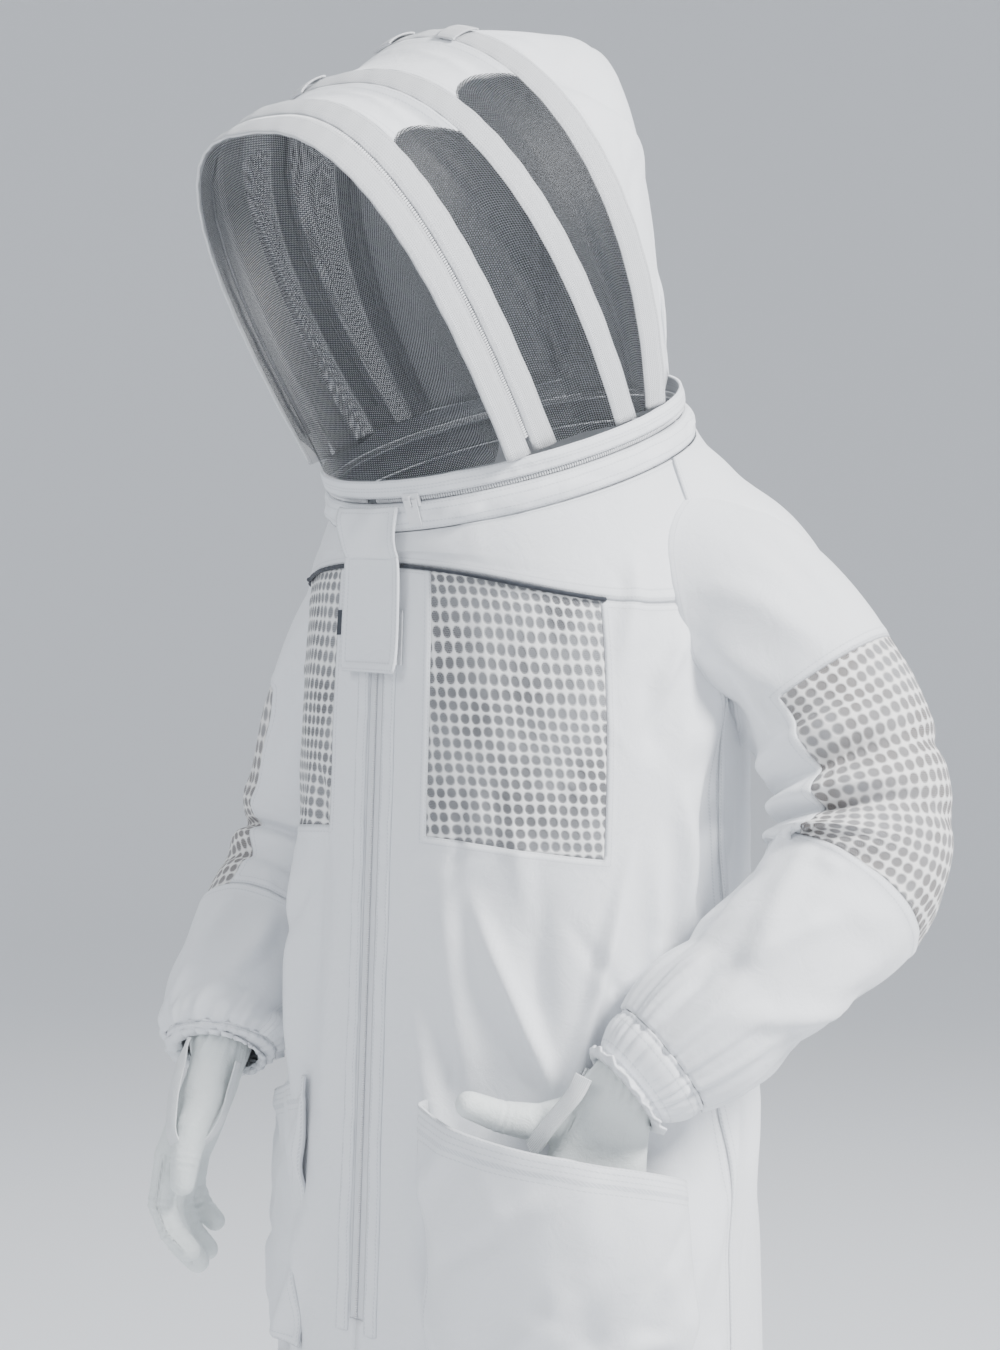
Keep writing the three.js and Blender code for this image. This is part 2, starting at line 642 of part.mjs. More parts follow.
/** The hood's surface: phi across the head, v from the chin (0) over the hoops to the nape (11). */
function hood(phi, v) {
  const k = Math.min(hoodLines.length - 2, Math.floor(v));
  return hoodLines[k](phi).lerp(hoodLines[k + 1](phi), v - k);
}

const hoodFloor = bandTop + seam;
const floorHeight = collarCentre.dot(tiltUp) + hoodFloor;
const trimmed = (geometry) => geometryOf(solid(geometry).trimByPlane(tiltUp.toArray(), floorHeight));
const footPhi = 89.5;
const phiStep = 11;

/** A patch of the hood, short of its seams in phi and in millimetres along v. */
function hoodPatch(p0, p1, v0, v1, rows, thickness, lift = 0) {
  const width = hood(0, v0 + 1e-6).distanceTo(hood(0, v1 - 1e-6));
  const inset = ((v1 - v0) * seam * 1.6) / width;
  const vs = steps(v0 + inset, v1 - inset, rows);
  return cloth(hood, between(p0, p1, phiStep), vs, thickness, { lift });
}

piece("visor_net", trimmed(hoodPatch(-86, 86, line.chin, line.visor, 5, net)), blackNet);
const tapeBetween = (from, to) => trimmed(hoodPatch(-footPhi, footPhi, from, to, 1, tape));
piece("visor_tape", tapeBetween(line.visorTape, line.visorTape + 1), webbing);
piece("front_tape", tapeBetween(line.zip, line.frontTape), webbing);
piece("middle_tape", tapeBetween(line.middle, line.middleBack), webbing);
piece("rear_tape", tapeBetween(line.rear, line.rearBack), webbing);

const topHalf = { front: 33, rear: 26 }; // degrees of phi of the cotton tops
const topBetween = (half, from, to) => hoodPatch(-half, half, from, to, 2, cotton);
piece("top_front", topBetween(topHalf.front, line.frontTape, line.middle), whiteCotton);
piece("top_rear", topBetween(topHalf.rear, line.middleBack, line.rear), whiteCotton);
const sideNet = (from, v0, v1, rows) => trimmed(hoodPatch(from + 0.25, footPhi, v0, v1, rows, net));
pair("net_front", sideNet(topHalf.front, line.frontTape, line.middle, 2), blackNet);
pair("net_rear", sideNet(topHalf.rear, line.middleBack, line.rear, 2), blackNet);

const bagLevels = [...steps(line.rearBack + 0.006, line.bag, 3), ...steps(line.bag, line.nape, 3).slice(1)];
const bagCloth = cloth(hood, between(-footPhi, footPhi, phiStep), bagLevels, cotton);
piece("hood_back", trimmed(bagCloth), whiteCotton);

const wireInside = tape + clearance * 2.6 + hoopWire / 2;
function hoopRod(hoop, forward = 0) {
  const phis = steps(-86, 86, 24);
  const points = phis.map((phi) => hoopPoint(hoop, phi, forward, wireInside));
  return rod(new CurveThrough(points), hoopWire, 20, 6);
}
piece("front_hoop", hoopRod(hoops.front, visorZipGap + tapeWidth / 2), springSteel);
piece("middle_hoop", hoopRod(hoops.middle), springSteel);
piece("rear_hoop", hoopRod(hoops.rear), springSteel);

const visorCoilPoints = steps(-88, 88, 44).map((phi) => hoopPoint(hoops.front, phi, 0, coil / 2 + 0.2));
const visorCoilCurve = new CurveThrough(visorCoilPoints);
piece("visor_zip", rod(visorCoilCurve, coil, 24, 6), whiteNylon);
const visorSliderPhi = -86.3;
const visorSliderAt = hoopPoint(hoops.front, visorSliderPhi);
const legDown = hoopPoint(hoops.front, visorSliderPhi - 2).sub(hoopPoint(hoops.front, visorSliderPhi + 2));
const hoopForward = V(0, -Math.cos(rad(hoops.front.lean)), -Math.sin(rad(hoops.front.lean)));
const legOut = legDown.clone().cross(hoopForward);
if (legOut.x > 0) legOut.negate();
stand(piece("visor_zip_slider", sliderShape(0), whiteNylon), visorSliderAt, legDown, legOut);
stand(piece("visor_zip_pull", pullShape(26, pullAxis()), whiteNylon), visorSliderAt, legDown, legOut);

// ---------------------------------------------------------------- sleeves, cuffs and thumb loops

for (const [hand, arm] of Object.entries(arms)) {
  const { from, to, half } = elbowVent;
  const cuffStart = 1 - wristCuffLength / arm.curve.getLength();
  const beside = (a, t) => Math.abs(((a + 180) % 360) - 180) > half + halfGap * 0.9 || t < from - gapShare;
  const upper = cloth(arm.surface, sleeveAngles, upperShares, cotton, { wrap: true, keep: beside });
  piece(`sleeve_upper_${hand}`, cut(upper, bodyCutter), whiteCotton);
  const ventTs = between(from + gapShare, to - gapShare, 0.07);
  const ventCloth = cloth(arm.surface, sleeveAngles.filter((a) => a < half), ventTs, spacerMesh);
  piece(`elbow_vent_${hand}`, ventCloth, whiteMesh);
  const lowerTs = between(to + gapShare, cuffStart - gapShare, 0.07);
  const lower = cloth(arm.surface, sleeveAngles, lowerTs, cotton, { wrap: true });
  piece(`sleeve_lower_${hand}`, lower, whiteCotton);
  const cuffTs = steps(cuffStart, 1, 2);
  const cuffCloth = cloth(arm.surface, steps(0, 360, 18), cuffTs, cotton + 0.8, { wrap: true });
  piece(`wrist_cuff_${hand}`, cuffCloth, elastic);
}

// ---------------------------------------------------------------- gloves

/** A hand's frame at its sleeve's end: down from the wrist, out of the palm, and towards the thumb. */
function handFrame(arm, down, palm, curl, thumb) {
  const tangent = arm.curve.getTangent(1);
  const wrist = arm.curve.getPoint(1).addScaledVector(tangent, 8);
  const inSleeve = arm.curve.getPointAt(1 - 26 / arm.curve.getLength());
  const d = down.clone().normalize();
  const n = palm.clone().projectOnPlane(d).normalize();
  const t = n.clone().cross(d).multiplyScalar(arm.side);
  return { wrist, inSleeve, tangent, d, n, t, curl, thumb };
}
const onHand = (hand, [down, thumb, palm]) =>
  hand.wrist
    .clone()
    .addScaledVector(hand.d, down)
    .addScaledVector(hand.t, thumb)
    .addScaledVector(hand.n, palm);

// Each thumb as balls along it: down, towards the thumb, out of the palm, radius.
const hangingThumb = [[22, 20, 8, 18], [52, 42, 15, 15], [78, 50, 22, 13], [98, 50, 28, 11]];
const spreadThumb = [[18, 20, 6, 18], [34, 52, 4, 16], [36, 84, 0, 13.5], [32, 112, -4, 11.5]];
const hands = {
  right: handFrame(arms.right, V(-0.26, -0.28, -1), V(0.82, 0.47, 0), 1, hangingThumb),
  left: handFrame(arms.left, V(-0.17, -0.17, -0.97), V(-0.73, 0.68, 0), 0.1, spreadThumb),
};

const fingers = [
  { knuckle: [86, 29, 0], lengths: [42, 26, 22], radius: 12 },
  { knuckle: [90, 9, 0], lengths: [46, 29, 23], radius: 12.4 },
  { knuckle: [87, -11, 0], lengths: [43, 27, 22], radius: 12 },
  { knuckle: [80, -30, 0], lengths: [34, 21, 19], radius: 11 },
];
const bends = [12, 45, 68]; // degrees of each joint from the palm's plane, in the relaxed hand

/** The corners of a geometry. */
function pointsOf(geometry) {
  const p = geometry.attributes.position;
  return Array.from({ length: p.count }, (_, i) => V(p.getX(i), p.getY(i), p.getZ(i)));
}

/** The glove as a filled form, drawn in by a wall. Each part is the hull of two or more balls. */
function gloveForm(hand, wall, sleeveReach = 0) {
  const ball = (p, r) => pointsOf(new THREE.SphereGeometry(r - wall, 6, 3).translate(p.x, p.y, p.z));
  const hull = (...balls) => solid(new ConvexGeometry(balls.flat()));
  const wristBalls = [ball(onHand(hand, [-2, 12, 0]), 19), ball(onHand(hand, [-2, -12, 0]), 19)];
  const heelBalls = [ball(onHand(hand, [20, 20, 4]), 19), ball(onHand(hand, [23, -17, 3]), 16.5)];
  const parts = [hull(...wristBalls, ...heelBalls)];
  for (const { knuckle, lengths, radius } of fingers) {
    let p = onHand(hand, knuckle);
    parts.push(hull(...heelBalls, ball(p, 14)));
    lengths.forEach((length, k) => {
      const bend = rad(bends[k] * hand.curl);
      const step = hand.d.clone().multiplyScalar(length * Math.cos(bend));
      const next = p.clone().add(step).addScaledVector(hand.n, length * Math.sin(bend));
      parts.push(hull(ball(p, radius + 1 - k * 0.6), ball(next, radius + 0.4 - k * 0.9)));
      p = next;
    });
  }
  const thumb = hand.thumb.map(([down, across, palm, r]) => ball(onHand(hand, [down, across, palm]), r));
  for (let k = 0; k < thumb.length - 1; k++) parts.push(hull(thumb[k], thumb[k + 1]));
  const far = hand.inSleeve.clone().addScaledVector(hand.tangent, -sleeveReach);
  const sideways = [9, -9].map((s) => ball(far.clone().addScaledVector(hand.t, s), 22));
  parts.push(hull(...wristBalls, ...sideways));
  return wasm.Manifold.union(parts);
}

for (const [name, hand] of Object.entries(hands)) {
  const end = hand.inSleeve.dot(hand.tangent);
  const outside = gloveForm(hand, 0).trimByPlane(hand.tangent.toArray(), end);
  piece(`glove_${name}`, geometryOf(outside.subtract(gloveForm(hand, gloveWall, 40))), leather);
}

// ---------------------------------------------------------------- pocket

const pocketEdges = { from: 19, to: 84 };
const pocketFoot = levelOf(-752);
const pocketMouth = { front: levelOf(-516), side: levelOf(-584) };
const pocketRoom = 78;
const shareOf = (x) => Math.min(1, Math.max(0, x));
/** The patch pocket over the body: it stands off by room at its mouth and is sewn down at its other edges. */
const pocketSurface = (room) => (angle, s) => {
  const across = shareOf((angle - pocketEdges.from) / (pocketEdges.to - pocketEdges.from));
  const v = mix(pocketFoot, mix(pocketMouth.front, pocketMouth.side, across), s);
  const swell = Math.sin(Math.PI * across) ** 0.5 * Math.sin((Math.PI / 2) * shareOf(s)) ** 0.8;
  return onBody(angle, v, cotton + 0.6 + room * swell);
};
const pocketCloth = (room, rows) =>
  cloth(pocketSurface(room), between(pocketEdges.from, pocketEdges.to, 6), steps(0, 1, rows), cotton);
piece("pocket_left", pocketCloth(pocketRoom, 5), whiteCotton);
piece("pocket_right", mirrored(pocketCloth(7, 3)), whiteCotton);

// ---------------------------------------------------------------- legs

const inseam = 2.5; // half the gap between the legs at the crotch
/** The left leg's surface: angle from the front through the outside, v from ankle (0) to crotch (1). */
function leg(angle, v) {
  const a = ((angle % 360) + 360) % 360;
  const [across, away] = [ankleRadius * Math.sin(rad(a)), ankleRadius * Math.cos(rad(a))];
  const round = V(ankleSpread + across, 24 - away, ankleHeight);
  const top = body(Math.min(a, 360 - a), 0);
  if (a > 180) top.set(inseam, mix(body(0, 0).y, body(180, 0).y, (360 - a) / 180), crotchHeight);
  top.x = Math.max(inseam, top.x);
  top.z -= seam;
  const t = Math.max(0, v) ** 0.85;
  const p = round.lerp(top, t);
  p.z = mix(ankleHeight, crotchHeight - seam, v);
  return p;
}
const legGeometry = cloth(leg, steps(0, 360, 20), steps(0, 1, 5), cotton, { wrap: true });
pair("leg", legGeometry, whiteCotton);
const ankle = (angle, v) => {
  const r = ankleRadius - 3;
  const height = mix(ankleHeight - ankleCuffLength, ankleHeight - seam, v);
  return V(ankleSpread + r * Math.sin(rad(angle)), 24 - r * Math.cos(rad(angle)), height);
};
pair("ankle_cuff", cloth(ankle, steps(0, 360, 20), [0, 1], cotton + 1.4, { wrap: true }), elastic);

export default suit;
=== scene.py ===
import math

import bmesh
import bpy
import numpy as np
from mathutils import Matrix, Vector
from mathutils.bvhtree import BVHTree


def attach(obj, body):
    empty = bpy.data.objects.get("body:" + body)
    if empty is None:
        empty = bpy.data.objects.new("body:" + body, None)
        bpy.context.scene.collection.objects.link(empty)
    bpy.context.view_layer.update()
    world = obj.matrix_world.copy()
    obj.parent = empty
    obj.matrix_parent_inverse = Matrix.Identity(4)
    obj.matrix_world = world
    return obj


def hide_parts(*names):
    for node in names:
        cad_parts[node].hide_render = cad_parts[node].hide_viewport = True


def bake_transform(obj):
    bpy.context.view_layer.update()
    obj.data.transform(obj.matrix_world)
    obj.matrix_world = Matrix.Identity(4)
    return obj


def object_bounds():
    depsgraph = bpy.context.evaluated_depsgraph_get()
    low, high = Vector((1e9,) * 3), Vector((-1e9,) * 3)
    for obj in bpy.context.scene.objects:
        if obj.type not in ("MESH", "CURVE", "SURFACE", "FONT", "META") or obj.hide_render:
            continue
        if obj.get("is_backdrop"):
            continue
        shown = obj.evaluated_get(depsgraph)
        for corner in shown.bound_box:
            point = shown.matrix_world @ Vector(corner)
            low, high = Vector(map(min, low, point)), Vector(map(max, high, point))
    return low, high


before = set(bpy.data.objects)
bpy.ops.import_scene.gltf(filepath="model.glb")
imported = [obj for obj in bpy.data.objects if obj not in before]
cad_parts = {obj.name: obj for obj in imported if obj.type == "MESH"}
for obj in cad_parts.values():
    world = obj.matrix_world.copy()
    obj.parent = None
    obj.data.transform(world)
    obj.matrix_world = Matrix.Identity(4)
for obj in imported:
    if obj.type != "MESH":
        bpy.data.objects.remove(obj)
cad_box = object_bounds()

# ------------------------------------------------------------------ the camera and the room
# A keeper stands a little turned from the camera, which is at chest height about three metres away.
# The room is one pale sweep: a round floor that curves up into its wall, under wide soft lamps.

eye, target = Vector((2.156, -1.947, -0.024)), Vector((0.0040, -0.0094, -0.1758))
lens = bpy.data.cameras.new("camera")
lens.sensor_fit, lens.sensor_height, lens.lens, lens.clip_end = "VERTICAL", 36.0, 89.9, 80.0
camera = bpy.data.objects.new("camera", lens)
bpy.context.collection.objects.link(camera)
camera.location = eye
camera.rotation_euler = (target - eye).to_track_quat("-Z", "Y").to_euler()
bpy.context.scene.camera = camera

floor_height = cad_box[0][2]


def sweep(ways=96, rows=40):
    """The room's surface: a circle of radius 8 m on the floor, then a quarter round of 6 m, then a wall."""
    flat = np.linspace(0.01, 8, 8)
    turn = np.linspace(0, math.pi / 2, rows - 14)
    wall = np.linspace(0.6, 8, 6)
    out = np.concatenate([flat, 8 + 6 * np.sin(turn[1:]), np.full(6, 14.0)])
    up = np.concatenate([0 * flat, 6 - 6 * np.cos(turn[1:]), 6 + wall])
    way = np.linspace(0, 2 * math.pi, ways + 1)[:-1]
    x, y = np.cos(way)[None] * out[:, None], np.sin(way)[None] * out[:, None]
    return np.stack([x, y, np.broadcast_to(up[:, None], x.shape) + floor_height - 0.001], -1)


room_points = sweep()
rows, ways = room_points.shape[:2]
j, i = np.meshgrid(np.arange(rows - 1), np.arange(ways), indexing="ij")
quads = np.stack([j * ways + i, j * ways + (i + 1) % ways, (j + 1) * ways + (i + 1) % ways, (j + 1) * ways + i], -1)
faces = [tuple(range(ways))] + [tuple(q) for q in quads.reshape(-1, 4)[:, ::-1].tolist()]
mesh = bpy.data.meshes.new("room")
mesh.from_pydata(room_points.reshape(-1, 3).tolist(), [], faces)
mesh.polygons.foreach_set("use_smooth", np.ones(len(mesh.polygons), bool))
room = bpy.data.objects.new("room", mesh)
bpy.context.collection.objects.link(room)
room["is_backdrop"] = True
paper = bpy.data.materials.new("backdrop paper")
paper.use_nodes = True
paper.node_tree.nodes["Principled BSDF"].inputs["Base Color"].default_value = (0.80, 0.815, 0.84, 1)
paper.node_tree.nodes["Principled BSDF"].inputs["Roughness"].default_value = 0.95
paper.node_tree.nodes["Principled BSDF"].inputs["Specular IOR Level"].default_value = 0.1
mesh.materials.append(paper)

world = bpy.data.worlds.new("sky light")
bpy.context.scene.world = world
world.use_nodes = True
world.node_tree.nodes["Background"].inputs["Color"].default_value = (0.93, 0.96, 1.0, 1)
world.node_tree.nodes["Background"].inputs["Strength"].default_value = 0.9


def lamp(name, place, aim, size, power, colour=(1, 1, 1)):
    light = bpy.data.lights.new(name, "AREA")
    light.shape, light.size, light.energy, light.color = "DISK", size, power, colour
    holder = bpy.data.objects.new(name, light)
    bpy.context.collection.objects.link(holder)
    holder.location = place
    holder.rotation_euler = (Vector(aim) - Vector(place)).to_track_quat("-Z", "Y").to_euler()


lamp("key lamp", (3.1, 0.7, 2.1), (0, 0, -0.35), 1.1, 330, (1.0, 0.995, 0.985))
lamp("front lamp", (0.4, -3.4, 1.6), (0, 0, -0.3), 1.8, 48, (0.97, 0.985, 1.0))
lamp("back lamp", (-2.4, 2.6, 2.4), (0, 0, -0.2), 2.2, 90, (0.95, 0.97, 1.0))

# ------------------------------------------------------------------ the body of the suit
# Two fronts and a back of crisp white cotton twill, sewn at the sides and open at the front for the zip.
# Seam allowances are folded under and topstitched, so every seam stands up a little beside its line.

mm = 0.001
collar_radius, collar_tilt, collar_height = 157.0, math.radians(18), 22.0
cotton, spacer = 2.6, 4.8
tilt_away = np.array([0, math.cos(collar_tilt), math.sin(collar_tilt)])
tilt_up = np.array([0, -math.sin(collar_tilt), math.cos(collar_tilt)])
neck_foot = -26.4
neck_centre = np.array([0, 0, collar_height]) + tilt_up * neck_foot
zip_y = lambda z: -141 - 27 * (-100 - z) / 611


def level_ring(v, z, width, y, dip):
    return [v, z, width, y - zip_y(z), y, 0, dip, 0.889]


body_rings = np.array([
    level_ring(0, -780, 227, 14, 0),
    level_ring(1.4, -644, 224, 13, 0),
    level_ring(2.6, -520, 209, 13, 0),
    level_ring(3.8, -400, 205, 15, 10),
    level_ring(5, -290, 208, 19, 22),
    level_ring(6.2, -180, 206, 22, 32),
    [7.2, -71, 195, 160, 20, 3, 38, 0.9],
    [7.7, -36, 177, 159, 12, 11, 14, 0.94],
    [8.4, neck_centre[2], 161, 161, neck_centre[1], 18, 0, 1],
])
yoke_seam, neck_edge = 7.2, 8.4


def through(stations, v):
    """Values at v of the smooth curve through the stations: a cubic between two, each with the slope of
    its neighbours."""
    stations, v = np.asarray(stations, float), np.asarray(v, float)
    last = len(stations) - 1
    i = np.clip(np.searchsorted(stations[:, 0], v) - 1, 0, last - 1)
    t = np.clip((v - stations[i, 0]) / (stations[i + 1, 0] - stations[i, 0]), 0, 1)[..., None]
    p0, p1, p2, p3 = (stations[np.clip(i + k, 0, last)] for k in (-1, 0, 1, 2))
    m1, m2 = (p2 - p0) / 2, (p3 - p1) / 2
    return (2 * t**3 - 3 * t**2 + 1) * p1 + (t**3 - 2 * t**2 + t) * m1 + (3 * t**2 - 2 * t**3) * p2 + (t**3
        - t**2) * m2


def power(x, p):
    return np.sign(x) * np.abs(x) ** p


def ease(x, low=0.0, high=1.0):
    """0 below low, 1 above high, and a smooth step between."""
    t = np.clip((x - low) / (high - low), 0, 1)
    return t * t * (3 - 2 * t)


def body(angle, level):
    """A rounded ring at each level: sine and cosine of the angle from the zip to a power, tilted and
    dipped at the sides."""
    _, z, width, depth, centre, tilt, dip, roundness = np.moveaxis(through(body_rings, level), -1, 0)
    a, tilt = np.radians(angle), np.radians(tilt)
    across, away = width * power(np.sin(a), roundness), -depth * power(np.cos(a), roundness)
    return np.stack([across, centre + away * np.cos(tilt), z + away * np.sin(tilt) - dip * np.sin(a) ** 2], -1)


def off(surface, u, v, lift):
    """The surface moved by lift along its own outward direction."""
    e = 1e-3
    n = np.cross(surface(u + e, v) - surface(u - e, v), surface(u, v + e) - surface(u, v - e))
    n /= np.linalg.norm(n, axis=-1, keepdims=True) + 1e-12
    return surface(u, v) + n * np.asarray(lift)[..., None]


def ridge(across, down, start, end, width, height, turn=None):
    """One fold in the plane of the cloth: a round ridge along a line, its ends faded, as wide as width."""
    (a0, b0), (a1, b1) = start, end
    length = math.hypot(a1 - a0, b1 - b0)
    ca, cb = (a1 - a0) / length, (b1 - b0) / length
    da = across - a0
    if turn:
        da = (da + turn / 2) % turn - turn / 2
    along, beside = da * ca + (down - b0) * cb, -da * cb + (down - b0) * ca
    fade = ease(along, -0.1 * length, 0.35 * length) * (1 - ease(along, 0.65 * length, 1.1 * length))
    return height * fade * np.exp(-((beside / width) ** 2))


def crumple(across, down, seed, count, spans, lengths, widths, height, lean=0.0, spread=0.6, turn=None):
    """Many small folds laid at random from a fixed seed: each a ridge or a valley, most of them near one
    direction."""
    dice = np.random.default_rng(seed)
    total = 0 * (across + down)
    for _ in range(count):
        a, b = dice.uniform(*spans[0]), dice.uniform(*spans[1])
        way, half = lean + dice.normal(0, spread), dice.uniform(*lengths) / 2
        wide, high = dice.uniform(*widths), dice.normal(0, 1) * height
        end = (math.sin(way) * half, math.cos(way) * half)
        total = total + ridge(across, down, (a - end[0], b - end[1]), (a + end[0], b + end[1]), wide, high, turn)
    return total


around = 3.6  # millimetres of cloth to a degree round the body
# Folds that the wearer puts in the cloth: from (degrees, height) to (degrees, height), width and height.
body_fold_list = [
    ((28, -345), (55, -520), 9, 5.5), ((70, -345), (56, -520), 9, 5.0), ((45, -330), (49, -480), 16, -4.0),
    ((20, -330), (30, -520), 14, 3.5), ((12, -420), (26, -640), 13, 4.0), ((36, -520), (10, -640), 12, 3.0),
    ((86, -250), (94, -420), 11, 6.0), ((98, -230), (92, -380), 9, -6.0), ((79, -300), (84, -500), 12, 4.5),
    ((104, -300), (92, -520), 13, 6.0), ((115, -420), (98, -640), 16, 6.0), ((70, -520), (40, -600), 10, -3.0),
    ((84, -690), (40, -745), 14, 5.0), ((60, -640), (30, -760), 12, 3.5), ((96, -600), (70, -770), 15, 5.0),
    ((14, -650), (34, -775), 12, 4.5), ((6, -560), (18, -720), 10, 3.0), ((-9, -330), (-13, -560), 12, 4.5),
    ((-22, -250), (-20, -480), 13, -4.5), ((-34, -300), (-28, -560), 14, 5.5), ((-14, -600), (-26, -770), 13, 4.0),
    ((-40, -520), (-16, -700), 12, 3.5), ((-70, -280), (-58, -520), 16, 5.0), ((-96, -240), (-88, -440), 14, 5.5),
    ((-110, -320), (-96, -560), 16, 5.0), ((-60, -560), (-40, -760), 15, 4.0), ((68, -160), (80, -60), 10, 3.0),
    ((76, -205), (92, -120), 9, 4.0), ((-74, -190), (-86, -100), 9, 4.0), ((30, -70), (44, 0), 12, 1.6),
    ((180, -440), (176, -640), 15, 5.0), ((165, -430), (150, -660), 15, 5.0), ((195, -430), (212, -660), 15, 5.0),
    ((140, -380), (128, -620), 16, 5.5), ((222, -380), (236, -640), 16, 5.5), ((178, -640), (160, -775), 14, -5.0),
    ((182, -650), (204, -775), 14, -4.5), ((150, -520), (186, -560), 14, 3.5), ((210, -520), (182, -590), 14, 3.5),
]


def body_folds(angle, height):
    """Height of the cloth's folds over the smooth body: the wearer's folds and a fine crumple, none
    beside the zip."""
    signed = (angle + 180) % 360 - 180
    s = signed * around
    turn = 360 * around
    total = 0 * (s + height)
    for (a0, z0), (a1, z1), wide, high in body_fold_list:
        total = total + ridge(s, height, (a0 * around, z0), (a1 * around, z1), wide, high, turn)
    fine = crumple(s, height, 11, 150, ((-648, 648), (-790, -60)), (40, 170), (6, 17), 1.5, 0.1, 0.7, turn)
    small = crumple(s, height, 12, 170, ((-648, 648), (-790, 0)), (20, 70), (4, 8), 0.55, 0.4, 1.1, turn)
    beside_zip = ease(np.abs(s), 26, 80) + 0.16 * ease(-height, 200, 300) * ease(np.abs(s), 7,
        26) * (1 - ease(np.abs(s), 26, 80))
    near_neck = 0.25 + 0.75 * ease(-height, 30, 110)
    drape = 3.0 * np.sin(s / 46.0 + height / 150.0) + 2.2 * np.sin(s / 27.0 - height / 90.0 + 1.0)
    low = ease(-height, 240, 420)
    return (2.1 * total + 2.2 * fine + 1.9 * small + 1.2 * drape * low) * beside_zip * near_neck


def suit_cloth(angle, level, lift=0.0):
    """The worn cloth: the body with its folds, moved out by lift."""
    angle, level = np.broadcast_arrays(np.asarray(angle, float), np.asarray(level, float))
    folds = body_folds(angle, body(angle, level)[..., 2])
    return off(body, angle, level, folds + lift)


def level_of(z):
    """The level at which the zip line is at height z."""
    low, high = 0.0, neck_edge
    for _ in range(40):
        middle = (low + high) / 2
        low, high = (middle, high) if body(0, middle)[2] < z else (low, middle)
    return low


def sample(step, *marks):
    """Values through all the marks, evenly spaced between each two of them and about a step apart."""
    parts = [np.linspace(a, b, max(2, int(round((b - a) / step)) + 1))[:-1] for a, b in zip(marks, marks[1:])]
    return np.concatenate([*parts, [marks[-1]]])


def from_edges(values, *edges):
    """Distance of each value from the nearest edge."""
    return np.min([np.abs(values - e) for e in edges], axis=0)


def lay(name, points, flat, seam=None, keep=None, wall=cotton, loop=False, soft=True):
    """A piece of cloth on a grid of points in mm, outer side given: flat is its place in the cut cloth in mm, and
    seam its distance from the nearest sewn edge. The wall goes inward."""
    rows, columns = points.shape[:2]
    width = columns - 1 if loop else columns
    j, i = np.meshgrid(np.arange(rows - 1), np.arange(columns - 1), indexing="ij")
    corner = lambda dj, di: (j + dj) * width + (i + di) % width
    place = lambda dj, di: (j + dj) * columns + (i + di)
    cells = np.stack([corner(0, 0), corner(0, 1), corner(1, 1), corner(1, 0)], -1)
    loops = np.stack([place(0, 0), place(0, 1), place(1, 1), place(1, 0)], -1)
    if keep is not None:
        cells, loops = cells[keep], loops[keep]
    cells, loops = cells.reshape(-1, 4), loops.reshape(-1, 4)
    used, renumbered = np.unique(cells, return_inverse=True)
    mesh = bpy.data.meshes.new(name)
    spots = points[:, :width].reshape(-1, 3)[used] * mm
    mesh.from_pydata(spots.tolist(), [], renumbered.reshape(-1, 4).tolist())
    mesh.polygons.foreach_set("use_smooth", np.full(len(mesh.polygons), soft))
    mesh.uv_layers.new(name="cloth").data.foreach_set("uv", (flat.reshape(-1, 2)[loops.ravel()] * mm).ravel())
    far = np.full((rows, columns), 99.0) if seam is None else np.broadcast_to(seam, (rows, columns))
    mesh.attributes.new("seam", "FLOAT", "POINT").data.foreach_set(
        "value", (far[:, :width].reshape(-1)[used] * mm).astype(np.float32))
    made = bpy.data.objects.new(name, mesh)
    bpy.context.collection.objects.link(made)
    if wall:
        shell = made.modifiers.new("wall", "SOLIDIFY")
        shell.thickness, shell.offset = wall * mm, -1
    return made


def welt(seam, wide=7.0, high=0.9):
    """A turned seam allowance: the cloth stands up by high beside the seam for its width, and dips into the
    seam line."""
    return high * (1 - ease(seam, wide - 1.2, wide + 1.2)) - 1.3 * np.exp(-((seam / 1.6) ** 2))


class Wire:
    """One output in a material's tree. Sums and products of wires and numbers add their Math nodes."""

    def __init__(self, tree, socket=None):
        self.tree, self.socket = tree, socket

    def node(self, kind, sockets=(), out=0, **settings):
        made = self.tree.nodes.new("ShaderNode" + kind)
        for key, value in settings.items():
            if key == "stops":
                ramp = made.color_ramp.elements
                while len(ramp) < len(value):
                    ramp.new(1.0)
                for element, (where, colour) in zip(ramp, value):
                    element.position, element.color = where, colour
            else:
                setattr(made, key, value)
        for key, value in dict(sockets).items():
            if isinstance(value, Wire):
                self.tree.links.new(value.socket, made.inputs[key])
            else:
                made.inputs[key].default_value = value
        return Wire(self.tree, made.outputs[out])

    def __add__(self, other):
        return self.node("Math", {0: self, 1: other}, operation="ADD")

    def __mul__(self, other):
        return self.node("Math", {0: self, 1: other}, operation="MULTIPLY")

    def __sub__(self, other):
        return self.node("Math", {0: self, 1: other}, operation="SUBTRACT")

    def __rsub__(self, other):
        return self.node("Math", {0: other, 1: self}, operation="SUBTRACT")

    def __truediv__(self, other):
        return self.node("Math", {0: self, 1: other}, operation="DIVIDE")

    def __lt__(self, other):
        return self.node("Math", {0: self, 1: other}, operation="LESS_THAN")

    __radd__, __rmul__ = __add__, __mul__


def begin(name, roughness, sheen=0.0, **constants):
    """A new material with its plain numbers set, its first wire and its shader."""
    material = bpy.data.materials.new(name)
    material.use_nodes = True
    shader = material.node_tree.nodes["Principled BSDF"]
    shader.inputs["Roughness"].default_value = roughness
    shader.inputs["Sheen Weight"].default_value = sheen
    for key, value in constants.items():
        shader.inputs[key.replace("_", " ")].default_value = value
    return material, Wire(material.node_tree), shader


